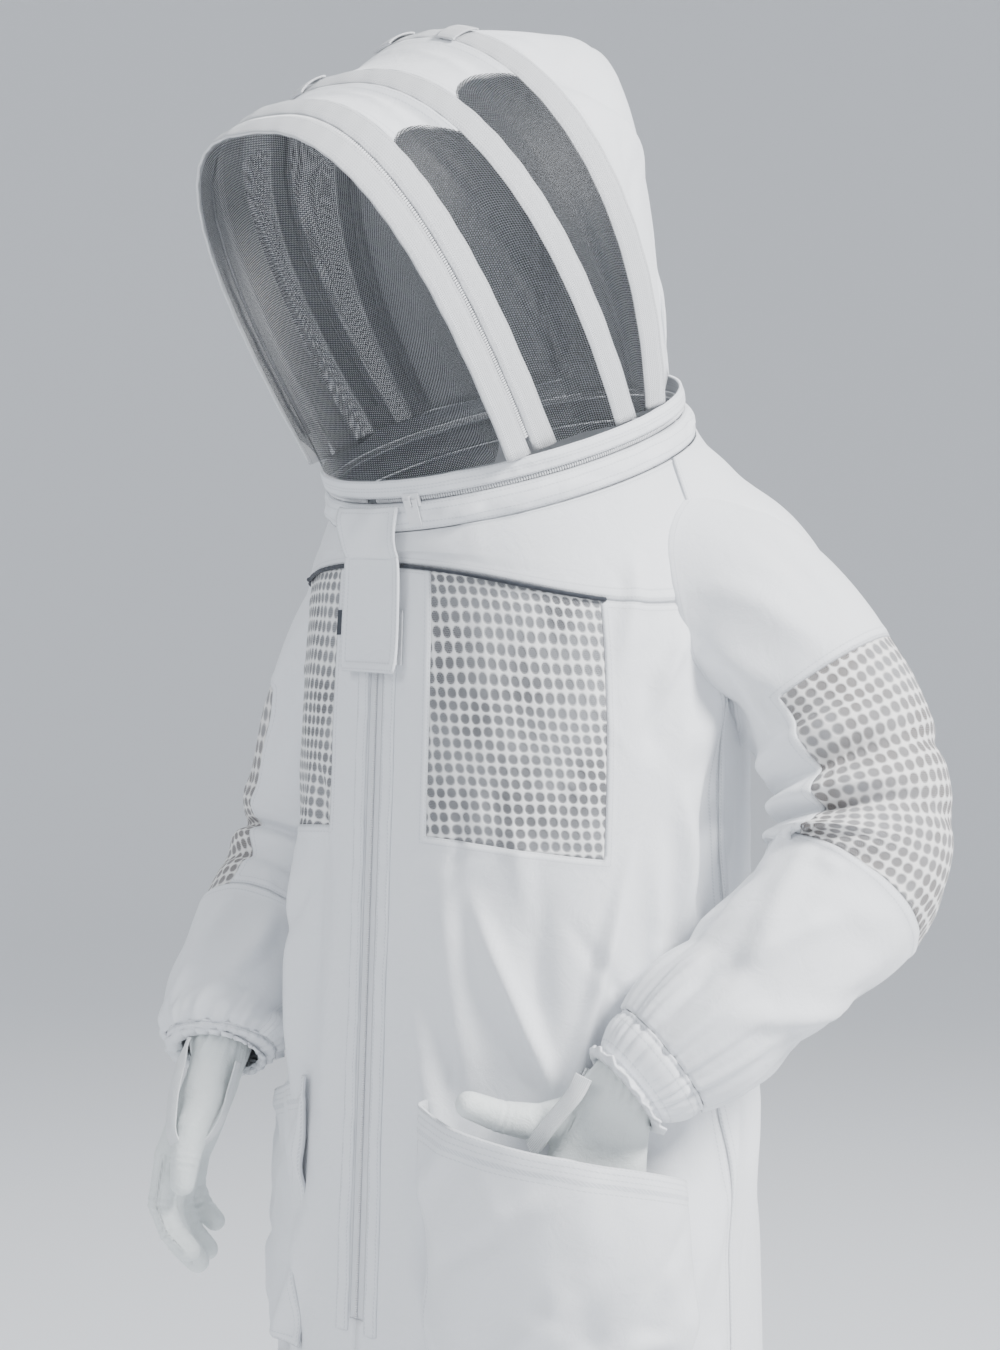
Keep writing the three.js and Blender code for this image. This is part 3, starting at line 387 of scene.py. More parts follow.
def finish_with(wire, shader, colour, bumps, alpha=None):
    """Joins the colour and the bumps, each (height, distance, strength), to the shader."""
    wire.tree.links.new(colour.socket, shader.inputs["Base Color"])
    normal = None
    for height, distance, strength in bumps:
        feeds = {"Height": height, "Distance": distance, "Strength": strength}
        if normal is not None:
            feeds["Normal"] = normal
        normal = wire.node("Bump", feeds)
    wire.tree.links.new(normal.socket, shader.inputs["Normal"])
    if alpha is not None:
        wire.tree.links.new(alpha.socket, shader.inputs["Alpha"])


def cotton_finish(name, light, shade, stitches=(0.0022, 0.0072), grain=1.0):
    """Cotton twill: a diagonal weave, slubs, pressed creases and two rows of stitches beside every seam, with painted
    shade in each seam's ditch.
    """
    material, wire, shader = begin(name, 0.82, 0.25, Sheen_Roughness=0.5)
    flat = wire.node("UVMap", uv_map="cloth")
    u, v = (flat.node("SeparateXYZ", {0: flat}, out=k) for k in (0, 1))
    seam = wire.node("Attribute", attribute_name="seam", out=2)
    twill = wire.node("Math", {0: (u * 1.0 + v * 1.7) * (2 * math.pi / 0.0011)}, operation="SINE")
    yarn = wire.node("Math", {0: (u - v * 0.4) * (2 * math.pi / 0.0007)}, operation="SINE")
    place = wire.node("TexCoord", out=3)
    slubs = wire.node("TexNoise", {"Vector": place, "Scale": 950.0, "Detail": 2.0})
    creases = wire.node("TexNoise",
        {"Vector": place, "Scale": 34.0, "Detail": 5.0, "Roughness": 0.62, "Distortion": 0.6})
    tone = wire.node("TexNoise", {"Vector": place, "Scale": 7.0, "Detail": 3.0})
    dash = wire.node("Math", {0: (u + v) / 0.0034}, operation="FRACT") < 0.66
    rows = None
    for row in stitches:
        line = wire.node("Math", {0: seam - row}, operation="ABSOLUTE") < 0.00052
        rows = line if rows is None else rows + line
    stitch = rows * dash
    # ditch is 0 on a seam's line and 1 from 1.2 mm away: the colour below paints shade into the seam's groove by it.
    ditch = wire.node("Math", {0: seam / 0.0012}, operation="MINIMUM")
    ditch.socket.node.inputs[1].default_value = 1.0
    pressed = wire.node("Mix", {0: tone * 0.6 + slubs * 0.25, 6: light, 7: shade}, out=2, data_type="RGBA")
    # The stitches, and the painted shade in the seam's ditch, both darken the cloth towards one blue-grey.
    sewn = wire.node("Mix", {0: stitch * 0.30 + (1 - ditch) * 0.35, 6: pressed, 7: (0.42, 0.45, 0.50, 1)},
        out=2, data_type="RGBA")
    weave = twill * 0.5 + yarn * 0.35 + slubs * 1.3
    finish_with(wire, shader, sewn, [
        (creases, 0.0035, 0.42), (weave, 0.00007 * grain, 0.7), (stitch * -1.0 + ditch * 0.6, 0.0007, 0.7)])
    return material


white_cotton = cotton_finish("white cotton twill", (0.86, 0.875, 0.90, 1), (0.80, 0.825, 0.865, 1))


def dress(piece, material, slot, body_name, *nodes):
    """Gives a piece its finish and says which body carries it and which plain solids it stands for."""
    piece.data.materials.clear()
    piece.data.materials.append(material)
    if body_name:
        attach(piece, body_name)
    if nodes:
        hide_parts(*nodes)
    return piece


# The arms are needed first, because the body's cloth stops at the armholes.
arm_path = {
    "left": np.array([(118, 66, -88), (200, 104, -126), (268, 134, -216), (298, 122, -324), (284, 26, -408),
        (233, -84, -499)], float),
    "right": np.array([(-118, 30, -92), (-190, 30, -130), (-251, 24, -215), (-281, 8, -345), (-261, -68, -425),
        (-209, -143, -484), (-197, -161, -513)], float),
}
arm_side = {"left": 1.0, "right": -1.0}
arm_radii = {
    "left": [[0, 80], [0.18, 79], [0.36, 73], [0.56, 75], [0.78, 66], [0.93, 52], [1, 44]],
    "right": [[0, 80], [0.18, 78], [0.36, 69], [0.56, 63], [0.78, 58], [0.93, 49], [1, 44]],
}


def arm_line(hand, t):
    """A point of the arm's middle line: a cubic between each two points, eased by the root of their distances."""
    path, t = arm_path[hand], np.clip(np.asarray(t, float), 0, 1)
    points = np.vstack([2 * path[0] - path[1], path, 2 * path[-1] - path[-2]])
    gap = np.sum(np.diff(points, axis=0) ** 2, -1) ** 0.25
    k = np.clip(np.floor(t * (len(path) - 1)).astype(int), 0, len(path) - 2)
    w = (t * (len(path) - 1) - k)[..., None]
    x0, x1, x2, x3 = (points[k + n] for n in range(4))
    d0, d1, d2 = (gap[k + n][..., None] for n in range(3))
    m1 = ((x1 - x0) / d0 - (x2 - x0) / (d0 + d1) + (x2 - x1) / d1) * d1
    m2 = ((x2 - x1) / d1 - (x3 - x1) / (d1 + d2) + (x3 - x2) / d2) * d1
    return x1 + m1 * w + (3 * x2 - 3 * x1 - 2 * m1 - m2) * w**2 + (2 * x1 - 2 * x2 + m1 + m2) * w**3


def unit(v):
    return v / (np.linalg.norm(v, axis=-1, keepdims=True) + 1e-12)


def sleeve(hand, angle, t, lift=0.0):
    """A round sleeve about the arm's line: angle from its outer side, t from the shoulder to the wrist."""
    angle, t = np.broadcast_arrays(np.asarray(angle, float), np.asarray(t, float))
    along = unit(arm_line(hand, t + 1e-4) - arm_line(hand, t - 1e-4))
    outward = np.array([arm_side[hand], 0.15, 0.35])
    out = unit(outward - along * (along @ outward)[..., None])
    side = np.cross(along, out)
    radius = through(arm_radii[hand], t)[..., 1] + lift
    a = np.radians(angle)
    return arm_line(hand, t) + (out * np.cos(a)[..., None] + side * np.sin(a)[..., None]) * radius[..., None]


def in_sleeve(points, depth):
    """Which points lie inside either sleeve's top by more than depth."""
    inside = np.zeros(points.shape[:-1], bool)
    for hand in arm_path:
        t = np.linspace(0.02, 0.42, 60)
        line, radius = arm_line(hand, t), through(arm_radii[hand], t)[:, 1]
        for centre, r in zip(line, radius):
            inside |= np.linalg.norm(points - centre, axis=-1) < r - depth
    return inside


def cell_middle(points):
    return (points[:-1, :-1] + points[1:, :-1] + points[:-1, 1:] + points[1:, 1:]) / 4


zip_edge, side_seam = 1.35, 100.0
vent_from, vent_to, vent_foot = 15.0, 64.0, level_of(-300)
zip_foot = level_of(-711)
per_level = 96.0  # millimetres of cloth to a level

mirror = np.array([-1.0, 1, 1])
angles = sample(1.15, 0, zip_edge, vent_from, vent_to, side_seam)
levels = sample(0.05, 0, zip_foot, vent_foot, yoke_seam)
A, L = np.meshgrid(angles, levels)
for side, sign in (("left", 1), ("right", -1)):
    seam = np.minimum(from_edges(A, side_seam) * around, from_edges(L, yoke_seam) * per_level)
    zip_side = np.where(L > zip_foot - 0.02, np.abs(A - zip_edge) * around, 99)
    box = np.maximum(np.maximum(vent_from - A, A - vent_to) * around, (vent_foot - L) * per_level)
    seam = np.minimum(np.minimum(seam, zip_side), np.maximum(box, 0) + 0.9)
    points = suit_cloth(sign * A, L, welt(seam))
    if sign < 0:
        points = points[:, ::-1]
    keep = ~((cell_middle(A[..., None])[..., 0] < zip_edge) & (cell_middle(L[..., None])[..., 0] > zip_foot))
    middle_a, middle_l = cell_middle(A[..., None])[..., 0], cell_middle(L[..., None])[..., 0]
    keep &= ~((middle_a > vent_from) & (middle_a < vent_to) & (middle_l > vent_foot))
    flat = np.stack([A * around, L * per_level], -1)
    if sign < 0:
        keep, flat, seam = keep[:, ::-1], flat[:, ::-1], seam[:, ::-1]
    keep = keep & ~in_sleeve(cell_middle(points), 9)
    front = lay(f"cloth_front_{side}", points, flat, seam, keep)
    dress(front, white_cotton, "cotton", "suit", f"front_{side}")

back_foot, back_top, back_half = level_of(-430), level_of(-150), 44.0
angles = sample(1.3, side_seam, 180 - back_half, 180 + back_half, 360 - side_seam)
levels = sample(0.055, 0, back_foot, back_top, yoke_seam)
A, L = np.meshgrid(angles, levels)
seam = np.minimum(from_edges(A, side_seam, 360 - side_seam) * around, from_edges(L, yoke_seam) * per_level)
box = np.maximum(np.abs(A - 180) - back_half, 0) * around
box = np.maximum(box, np.maximum(back_foot - L, L - back_top) * per_level)
seam = np.minimum(seam, np.maximum(box, 0) + 0.9)
points = suit_cloth(A, L, welt(seam))
middle_a, middle_l = cell_middle(A[..., None])[..., 0], cell_middle(L[..., None])[..., 0]
keep = ~((np.abs(middle_a - 180) < back_half) & (middle_l > back_foot) & (middle_l < back_top))
keep &= ~in_sleeve(cell_middle(points), 9)
back = lay("cloth_back", points, np.stack([A * around, L * per_level], -1), seam, keep)
dress(back, white_cotton, "cotton", "suit", "back")

# ------------------------------------------------------------------ the ventilation mesh
# Three-layer spacer mesh let into the chest, the back and the elbows: a firm white knit with round windows of fine
# honeycomb, set a little below the cotton and stitched in all round.

def vent_finish(name, light, dark):
    """Round windows about 11 mm apart in the knit, painted grey as shade in their recess, each full of small holes
    painted dark as the shade inside them.
    """
    material, wire, shader = begin(name, 0.78, 0.2)
    flat = wire.node("UVMap", uv_map="cloth")
    u, v = (flat.node("SeparateXYZ", {0: flat}, out=k) for k in (0, 1))
    pitch = 0.0108
    drift = wire.node("TexNoise", {"Vector": flat, "Scale": 16.0, "Detail": 1.0}) * 0.5 - 0.25
    across = wire.node("Math", {0: u / pitch + v * 14.0 + drift}, operation="FRACT") - 0.5
    down = wire.node("Math", {0: v / pitch - u * 9.0 + drift}, operation="FRACT") - 0.5
    reach = wire.node("Math", {0: across * across + down * down}, operation="SQRT")
    window = reach < 0.40
    hole = 0.00165
    a = wire.node("Math", {0: u / hole}, operation="FRACT") - 0.5
    b = wire.node("Math", {0: v / (hole * 1.732)}, operation="FRACT") - 0.5
    c = wire.node("Math", {0: u / hole + 0.5}, operation="FRACT") - 0.5
    d = wire.node("Math", {0: v / (hole * 1.732) + 0.5}, operation="FRACT") - 0.5
    first, second = a * a + b * b * 3.0, c * c + d * d * 3.0
    near = wire.node("Math", {0: first, 1: second}, operation="MINIMUM")
    holes = (near < 0.175) * window
    place = wire.node("TexCoord", out=3)
    patchy = wire.node("TexNoise", {"Vector": place, "Scale": 20.0, "Detail": 3.0})
    # How dark the painted shade inside the holes is, patchy over the mesh.
    depth = wire.node("MapRange", {0: patchy, 1: 0.36, 2: 0.62, 3: 0.42, 4: 1.0})
    rim = wire.node("MapRange", {0: reach, 1: 0.28, 2: 0.52, 3: 0.0, 4: 1.0})
    knit = wire.node("TexNoise", {"Vector": place, "Scale": 1400.0, "Detail": 2.0})
    # The sunken windows are painted grey as shade, and below, the holes in them are painted dark as the shade inside.
    knit_and_window_shade = wire.node("Mix", {0: rim, 6: (0.34, 0.35, 0.37, 1), 7: light}, out=2, data_type="RGBA")
    colour = wire.node("Mix", {0: holes * depth, 6: knit_and_window_shade, 7: dark}, out=2, data_type="RGBA")
    finish_with(wire, shader, colour, [(rim, 0.0012, 0.8), (holes * -1.0 + knit * 0.3, 0.0005, 0.7)])
    return material


# The second colour of each is the painted shade inside the holes.
vent_mesh = vent_finish("ventilation mesh", (0.85, 0.85, 0.845, 1), (0.055, 0.055, 0.06, 1))
warm_vent = vent_finish("elbow ventilation mesh", (0.83, 0.815, 0.80, 1), (0.16, 0.135, 0.12, 1))


def vent_sink(seam):
    """The mesh lies 0.4 mm below the cotton at its edge and comes up to 0.8 mm above it over the first 20 mm."""
    return -0.4 + 1.2 * ease(seam, 2, 20)


A, L = np.meshgrid(sample(0.7, vent_from, vent_to), sample(0.028, vent_foot, yoke_seam))
seam = np.minimum(from_edges(A, vent_from, vent_to) * around, from_edges(L, vent_foot, yoke_seam) * per_level)
ripple = crumple(A * around, L * per_level, 31, 34, ((50, 235), (470, 700)), (50, 160), (7, 15), 1.3, 0.0, 0.5)
for side, sign in (("left", 1), ("right", -1)):
    points = suit_cloth(sign * A, L, vent_sink(seam) + ripple * ease(seam, 0, 30))
    flat = np.stack([A * around, L * per_level], -1)
    if sign < 0:
        points, flat = points[:, ::-1], flat[:, ::-1]
    vent = lay(f"mesh_chest_{side}", points, flat, None, None, spacer)
    dress(vent, vent_mesh, "spacer_mesh", "suit", f"chest_vent_{side}")

A, L = np.meshgrid(sample(0.9, 180 - back_half, 180 + back_half), sample(0.035, back_foot, back_top))
seam = np.minimum((back_half - np.abs(A - 180)) * around, from_edges(L, back_foot, back_top) * per_level)
points = suit_cloth(A, L, vent_sink(seam))
back_vent = lay("mesh_back", points, np.stack([A * around, L * per_level], -1), None, None, spacer)
dress(back_vent, vent_mesh, "spacer_mesh", "suit", "back_vent")

# ------------------------------------------------------------------ the yoke, the cape and the piping
# A plain cotton yoke in front; behind, it is a cape that hangs free over the back. Both end in dark piping:
# a cord in a folded strip of cloth, sewn into the seam.

A, L = np.meshgrid(sample(1.0, zip_edge, 118), sample(0.035, yoke_seam, neck_edge))
for side, sign in (("left", 1), ("right", -1)):
    seam = np.minimum((A - zip_edge) * around, from_edges(L, yoke_seam, neck_edge) * per_level)
    points = suit_cloth(sign * A, L, welt(seam))
    flat = np.stack([A * around, L * per_level], -1)
    keep = ~in_sleeve(cell_middle(points), 9)
    if sign < 0:
        points, flat, seam, keep = points[:, ::-1], flat[:, ::-1], seam[:, ::-1], keep[:, ::-1]
    yoke = lay(f"yoke_{side}", points, flat, seam, keep)
    dress(yoke, white_cotton, "cotton", "suit", f"yoke_front_{side}")

cape_hem = yoke_seam - 0.12


def cape(angle, level):
    """The body's surface, moved out towards its hem by 20 mm, and by 52 mm more at its two wings."""
    fall = np.clip((neck_edge - level) / (neck_edge - yoke_seam), 0, 1)
    wing = np.exp(-(((np.abs(angle - 180) - 48) / 34) ** 2))
    sides = ease(angle, 101, 122) * (1 - ease(angle, 238, 259))
    return off(body, angle, np.clip(level, 0.01, neck_edge - 0.002), 2.5 + (20 + 52 * wing) * fall**1.6 * sides)


def cape_cloth(angle, level, lift=0.0):
    """The cape with the soft flutes that run down it to its hem."""
    s = (angle - 180) * around
    fall = np.clip((neck_edge - level) / (neck_edge - cape_hem), 0, 1)
    flutes = 3.0 * np.sin(s / 31.0 + 0.8) + 2.2 * np.sin(s / 17.0 + 2.0)
    fine = crumple(s, level * per_level, 41, 40, ((-270, 270), (670, 810)), (40, 120), (7, 15), 1.3, 0.0, 0.5)
    return off(cape, angle, level, (flutes * fall**1.5 + fine) * ease(neck_edge - level, 0.0, 0.3) + lift)


A, L = np.meshgrid(sample(1.0, 104, 256), sample(0.033, cape_hem, neck_edge - 0.003))
seam = np.minimum(from_edges(L, cape_hem) * per_level, from_edges(A, 104, 256) * around)
points = cape_cloth(A, L, welt(seam, 6.0, 0.7))
keep = ~in_sleeve(cell_middle(points), 4)
cape_piece = lay("yoke_cape", points, np.stack([A * around, L * per_level], -1), seam, keep)
dress(cape_piece, white_cotton, "cotton", "suit", "yoke_back")


def cord(name, path, radius, sides=10, swell=0.0, pitch=6.0):
    """A round cord along a path in mm: rings across its line, kept from twisting, swelling a little in waves, with
    both ends drawn in to a point."""
    path = np.asarray(path, float)
    along = unit(np.gradient(path, axis=0))
    length = np.concatenate([[0], np.cumsum(np.linalg.norm(np.diff(path, axis=0), axis=-1))])
    up = np.array([0.31, 0.17, 0.93])
    first = unit(np.cross(along, up))
    second = np.cross(along, first)
    turn = np.linspace(0, 2 * math.pi, sides + 1)
    r = radius * (1 + swell * np.sin(length * 2 * math.pi / pitch))
    r[0] = r[-1] = 0.02
    ring = first[:, None] * np.cos(turn)[None, :, None] + second[:, None] * np.sin(turn)[None, :, None]
    points = path[:, None] + ring * r[:, None, None]
    flat = np.stack(np.broadcast_arrays(turn[None] * radius, length[:, None]), -1)
    return lay(name, points, flat, None, None, 0, loop=True)


def piping_finish():
    """Dark slate cotton over a cord: a fine diagonal weave with small puckers."""
    material, wire, shader = begin("dark piping", 0.85, 0.15)
    flat = wire.node("UVMap", uv_map="cloth")
    u, v = (flat.node("SeparateXYZ", {0: flat}, out=k) for k in (0, 1))
    weave = wire.node("Math", {0: (u + v) * (2 * math.pi / 0.0009)}, operation="SINE")
    place = wire.node("TexCoord", out=3)
    tone = wire.node("TexNoise", {"Vector": place, "Scale": 120.0, "Detail": 3.0})
    colour = wire.node("Mix", {0: tone, 6: (0.018, 0.022, 0.032, 1), 7: (0.05, 0.057, 0.072, 1)}, out=2,
        data_type="RGBA")
    finish_with(wire, shader, colour, [(weave, 0.0002, 0.6), (tone, 0.001, 0.5)])
    return material


dark_piping = piping_finish()
for side, sign in (("left", 1), ("right", -1)):
    a = np.linspace(2.75, 66, 150)
    line = suit_cloth(sign * a, yoke_seam + 0 * a, 1.7 + 0.25 * np.sin(a * 1.9))
    pipe = cord(f"piping_{side}", line, 1.9, 10, 0.05, 9.0)
    dress(pipe, dark_piping, "piping", "suit", f"piping_front_{side}")
a = np.linspace(124, 236, 220)
hem_line = cape_cloth(a, 0 * a + cape_hem, -1.2)
hem_line = hem_line + unit(hem_line - cape_cloth(a, 0 * a + cape_hem + 0.05)) * 1.6
pipe = cord("piping_cape", hem_line, 1.9, 10, 0.05, 9.0)
dress(pipe, dark_piping, "piping", "suit", "piping_back")

# ------------------------------------------------------------------ the front zip
# A coil zip sewn under two narrow plackets. The plackets are folded strips of cotton that stand up on each side
# and hold the zip a little below them.

def nylon_finish(name, colour, rough=0.38):
    """Moulded white nylon: smooth, faintly mottled, with a slight shine."""
    material, wire, shader = begin(name, rough, 0.0)
    place = wire.node("TexCoord", out=3)
    tone = wire.node("TexNoise", {"Vector": place, "Scale": 90.0, "Detail": 4.0})
    grain = wire.node("TexNoise", {"Vector": place, "Scale": 900.0, "Detail": 2.0})
    darker = tuple(c * 0.93 for c in colour[:3]) + (1,)
    mixed = wire.node("Mix", {0: tone, 6: colour, 7: darker}, out=2, data_type="RGBA")
    finish_with(wire, shader, mixed, [(grain, 0.0001, 0.4)])
    return material


white_nylon = nylon_finish("white nylon", (0.84, 0.85, 0.87, 1))


def tape_finish():
    """Zip tape: a close ribbed weave."""
    material, wire, shader = begin("zip tape", 0.8, 0.2)
    flat = wire.node("UVMap", uv_map="cloth")
    u, v = (flat.node("SeparateXYZ", {0: flat}, out=k) for k in (0, 1))
    rib = wire.node("Math", {0: v * (2 * math.pi / 0.0011)}, operation="SINE")
    bar = wire.node("Math", {0: u * (2 * math.pi / 0.0008)}, operation="SINE")
    tone = wire.node("TexNoise", {"Vector": wire.node("TexCoord", out=3), "Scale": 60.0, "Detail": 3.0})
    colour = wire.node("Mix", {0: tone, 6: (0.80, 0.815, 0.84, 1), 7: (0.70, 0.72, 0.755, 1)}, out=2,
        data_type="RGBA")
    finish_with(wire, shader, colour, [(rib * bar, 0.0002, 0.5)])
    return material


zip_tape = tape_finish()
A, L = np.meshgrid(np.linspace(-zip_edge - 0.5, zip_edge + 0.5, 9), sample(0.05, zip_foot, neck_edge - 0.02))
points = suit_cloth(A, L, -0.6)
ladder = lay("zip_front_tape", points, np.stack([A * around, L * per_level], -1), None, None, 1.0)
dress(ladder, zip_tape, "nylon", "suit", "front_zip")


def teeth(name, path, out, pitch, reach, sides=6):
    """The closed coil of a zip: one small ring of nylon for each tooth along a path in mm, lying across it."""
    path = np.asarray(path, float)
    length = np.concatenate([[0], np.cumsum(np.linalg.norm(np.diff(path, axis=0), axis=-1))])
    at = np.arange(0.8, length[-1] - 0.8, pitch)
    centre = np.stack([np.interp(at, length, path[:, k]) for k in range(3)], -1)
    along = unit(np.stack([np.interp(at, length, np.gradient(path[:, k], length)) for k in range(3)], -1))
    outward = unit(np.stack([np.interp(at, length, out[:, k]) for k in range(3)], -1))
    across = np.cross(along, outward)
    long_way = np.linspace(0, 2 * math.pi, 9)[:-1]
    round_way = np.linspace(0, 2 * math.pi, sides)[:-1]
    p, q = np.meshgrid(long_way, round_way, indexing="ij")
    wide, high, thick = reach, reach * 0.42, pitch * 0.36
    x = (wide + thick * np.cos(q)) * np.cos(p)
    z = (high + thick * 0.8 * np.cos(q)) * np.sin(p)
    y = thick * np.sin(q)
    spots = (centre[:, None, None] + across[:, None, None] * x[None, ..., None]
             + along[:, None, None] * y[None, ..., None] + outward[:, None, None] * z[None, ..., None])
    n, m = p.shape
    j, i = np.meshgrid(np.arange(n), np.arange(m), indexing="ij")
    quad = np.stack([j * m + i, ((j + 1) % n) * m + i, ((j + 1) % n) * m + (i + 1) % m, j * m + (i + 1) % m],
        -1).reshape(-1, 4)[:, ::-1]
    cells = (quad[None] + (np.arange(len(at)) * n * m)[:, None, None]).reshape(-1, 4)
    mesh = bpy.data.meshes.new(name)
    mesh.from_pydata((spots.reshape(-1, 3) * mm).tolist(), [], cells.tolist())
    mesh.polygons.foreach_set("use_smooth", np.ones(len(mesh.polygons), bool))
    made = bpy.data.objects.new(name, mesh)
    bpy.context.collection.objects.link(made)
    return made


L = np.linspace(zip_foot + 0.01, level_of(-121), 300)
line, lifted = suit_cloth(0 * L, L, 0.6), suit_cloth(0 * L, L, 3.0)
front_teeth = teeth("zip_front_teeth", line, lifted - line, 1.9, 1.1)
dress(front_teeth, white_nylon, "nylon", "suit")

placket_in, placket_out = 1.75, 5.2  # degrees from the zip: the slider passes between the two inner edges
for side, sign in (("left", 1), ("right", -1)):
    A, L = np.meshgrid(np.linspace(placket_in, placket_out, 15), sample(0.04, zip_foot - 0.1, level_of(-150)))
    strip = ease(A, placket_in, 2.2) * (1 - ease(A, 4.6, placket_out))
    waves = 0.6 * np.sin(L * 9.0 + 1.0) + 0.45 * np.sin(L * 23.0) + 0.3 * np.sin(L * 41.0)
    points = suit_cloth(sign * (A + 0.08 * np.sin(L * 5.0)), L, 0.2 + strip * (1.5 + 0.7 * waves))
    seam = np.minimum(np.abs(A - placket_in), np.abs(A - placket_out)) * around
    flat = np.stack([A * around, L * per_level], -1)
    if sign < 0:
        points, flat, seam = points[:, ::-1], flat[:, ::-1], seam[:, ::-1]
    placket = lay(f"placket_{side}", points, flat, seam, None, 0.9)
    dress(placket, white_cotton, "cotton", "suit")

# ------------------------------------------------------------------ the throat flap, its pads and the label tab
# A doubled square of cotton, sewn to the yoke at its top edge, closes over the zip with a pad of hook and loop.
# A small dark woven tab with nothing on it sits in the seam of the right chest vent.

flap_half = math.degrees(math.asin((36 / 206) ** (1 / 0.889)))
flap_top, flap_foot = level_of(-71), level_of(-169)
s, t = np.meshgrid(np.linspace(-1, 1, 41), np.linspace(0, 1, 53))
corner = 0.13 * (1 - np.sqrt(np.clip(1 - np.clip((0.16 - t) / 0.16, 0, 1) ** 2, 0, 1)))
A, L = s * (1 - corner) * flap_half, flap_foot + (flap_top - flap_foot) * t
edge = np.minimum((1 - np.abs(s)) * 36, t * 98)
curl = 2.2 * np.exp(-(t / 0.16) ** 2) * (0.6 + 0.4 * s) + 1.2 * np.sin(math.pi * s * 0.9 + 0.3) * (1 - t)
points = suit_cloth(A, L, 11.6 + 0.9 * (1 - ease(edge, 5.5, 8)) + curl * 0.8)
flap = lay("throat_flap_cloth", points, np.stack([s * 36, t * 98], -1), np.minimum(edge, (1 - t) * 98 + 3),
    None, cotton)
dress(flap, white_cotton, "cotton", "throat_flap", "throat_flap")
roll = flap.modifiers.new("edge", "BEVEL")
roll.width, roll.segments, roll.limit_method = 0.0007, 2, "ANGLE"


def hook_finish():
    """Hook and loop tape: short hooks in close rows."""
    material, wire, shader = begin("hook and loop tape", 0.9, 0.4)
    place = wire.node("TexCoord", out=3)
    hooks = wire.node("TexVoronoi", {"Vector": place, "Scale": 700.0}, feature="F1")
    tone = wire.node("TexNoise", {"Vector": place, "Scale": 60.0})
    colour = wire.node("Mix", {0: tone, 6: (0.82, 0.83, 0.85, 1), 7: (0.70, 0.72, 0.75, 1)}, out=2, data_type="RGBA")
    finish_with(wire, shader, colour, [(hooks, 0.0006, 0.9)])
    return material


def give(material, *nodes):
    """A carried-over solid keeps its shape and takes a finish."""
    for node in nodes:
        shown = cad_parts[node]
        shown.data.materials.clear()
        shown.data.materials.append(material)


give(hook_finish(), "hook_pad", "loop_pad")
give(dark_piping, "label_tab")
give(white_nylon, "front_zip_slider", "front_zip_pull", "collar_zip_slider", "collar_zip_pull")
give(white_nylon, "visor_zip_slider", "visor_zip_pull")

# ------------------------------------------------------------------ the collar and the hood's hem band
# A short stand of soft cotton carries the round zip. The hood's hem band closes down on it and is topstitched.

def ring_point(angle, radius, height):
    """A point by its angle from the throat to the keeper's left, its radius and its height over the zip ring."""
    angle, radius, height = np.broadcast_arrays(*(np.asarray(q, float) for q in (angle, radius, height)))
    a = np.radians(angle)
    away = tilt_away * (-radius * np.cos(a))[..., None] + tilt_up * height[..., None]
    return np.array([0, 0, collar_height]) + away + np.stack([radius * np.sin(a), 0 * a, 0 * a], -1)


A, T = np.meshgrid(np.linspace(0, 360, 361), np.linspace(0, 1, 12))
gather = crumple(A * 2.8, T * 24, 51, 110, ((0, 1008), (0, 24)), (20, 70), (3, 7), 1.5, 1.2, 0.35, 1008)
puff = 5.0 * np.sin(math.pi * T) ** 0.8 * (0.8 + 0.2 * np.sin(np.radians(A) * 7 + 1))
points = ring_point(A, 161.5 - 4 * T + puff + gather * np.sin(math.pi * T) ** 0.5, -25.6 + 23.2 * T)
collar = lay("collar_stand", points, np.stack([A * 2.8, T * 24], -1), np.minimum(T, 1 - T) * 24, None, cotton, True)
dress(collar, white_cotton, "cotton", "suit", "neck_collar")

# The flap's root: a folded strip sewn over the front of the collar, from the ring zip down to the flap.
S, T = np.meshgrid(np.linspace(-1, 1, 41), np.linspace(0, 1, 34))
high = ring_point(S * 13.0, 166.5 + 0.8 * np.sin(S * 7), -3.0)
low = suit_cloth(S * flap_half * 0.98, level_of(-73) + 0 * S, 11.2)
points = high + (low - high) * T[..., None]
out = unit(points * np.array([1, 1, 0]))
points = points + out * (5.5 * np.sin(math.pi * T) ** 0.7
    + 1.3 * np.sin(S * 5 + T * 4) * np.sin(math.pi * T))[..., None]
edge = np.minimum((1 - np.abs(S)) * 36, T * 50 + 2)
root = lay("throat_flap_root", points[::-1], np.stack([S * 36, T * 50], -1)[::-1], edge[::-1], None, cotton)
dress(root, white_cotton, "cotton", "suit")

a = np.linspace(2, 358, 720)
ring_line, ring_out = ring_point(a, 156.0, 0), ring_point(a, 170.0, 0) - ring_point(a, 156.0, 0)
ring_teeth = teeth("zip_collar_teeth", ring_line, ring_out, 2.2, 1.7)
dress(ring_teeth, white_nylon, "nylon", "suit", "collar_zip")

A, T = np.meshgrid(np.linspace(0, 360, 361), np.linspace(0, 1, 9))
ruck = crumple(A * 2.8, T * 15, 52, 70, ((0, 1008), (0, 15)), (10, 30), (3, 6), 0.7, 1.4, 0.3, 1008)
points = ring_point(A, 159.2 + 0.9 * np.sin(math.pi * T) + ruck * np.sin(math.pi * T), 2.4 + 15.2 * T)
hem_band = lay("hood_hem_band", points, np.stack([A * 2.8, T * 15], -1), np.minimum(T, 1 - T) * 15 + 1, None,
    cotton, True)
dress(hem_band, white_cotton, "cotton", "hood", "hood_band")

# ------------------------------------------------------------------ the hood
# Three spring hoops in sleeves of webbing stand on the hem band. Between them the top is cotton and the sides are
# black veil net; behind is a soft cotton bag. The visor hangs on the first hoop's zip.

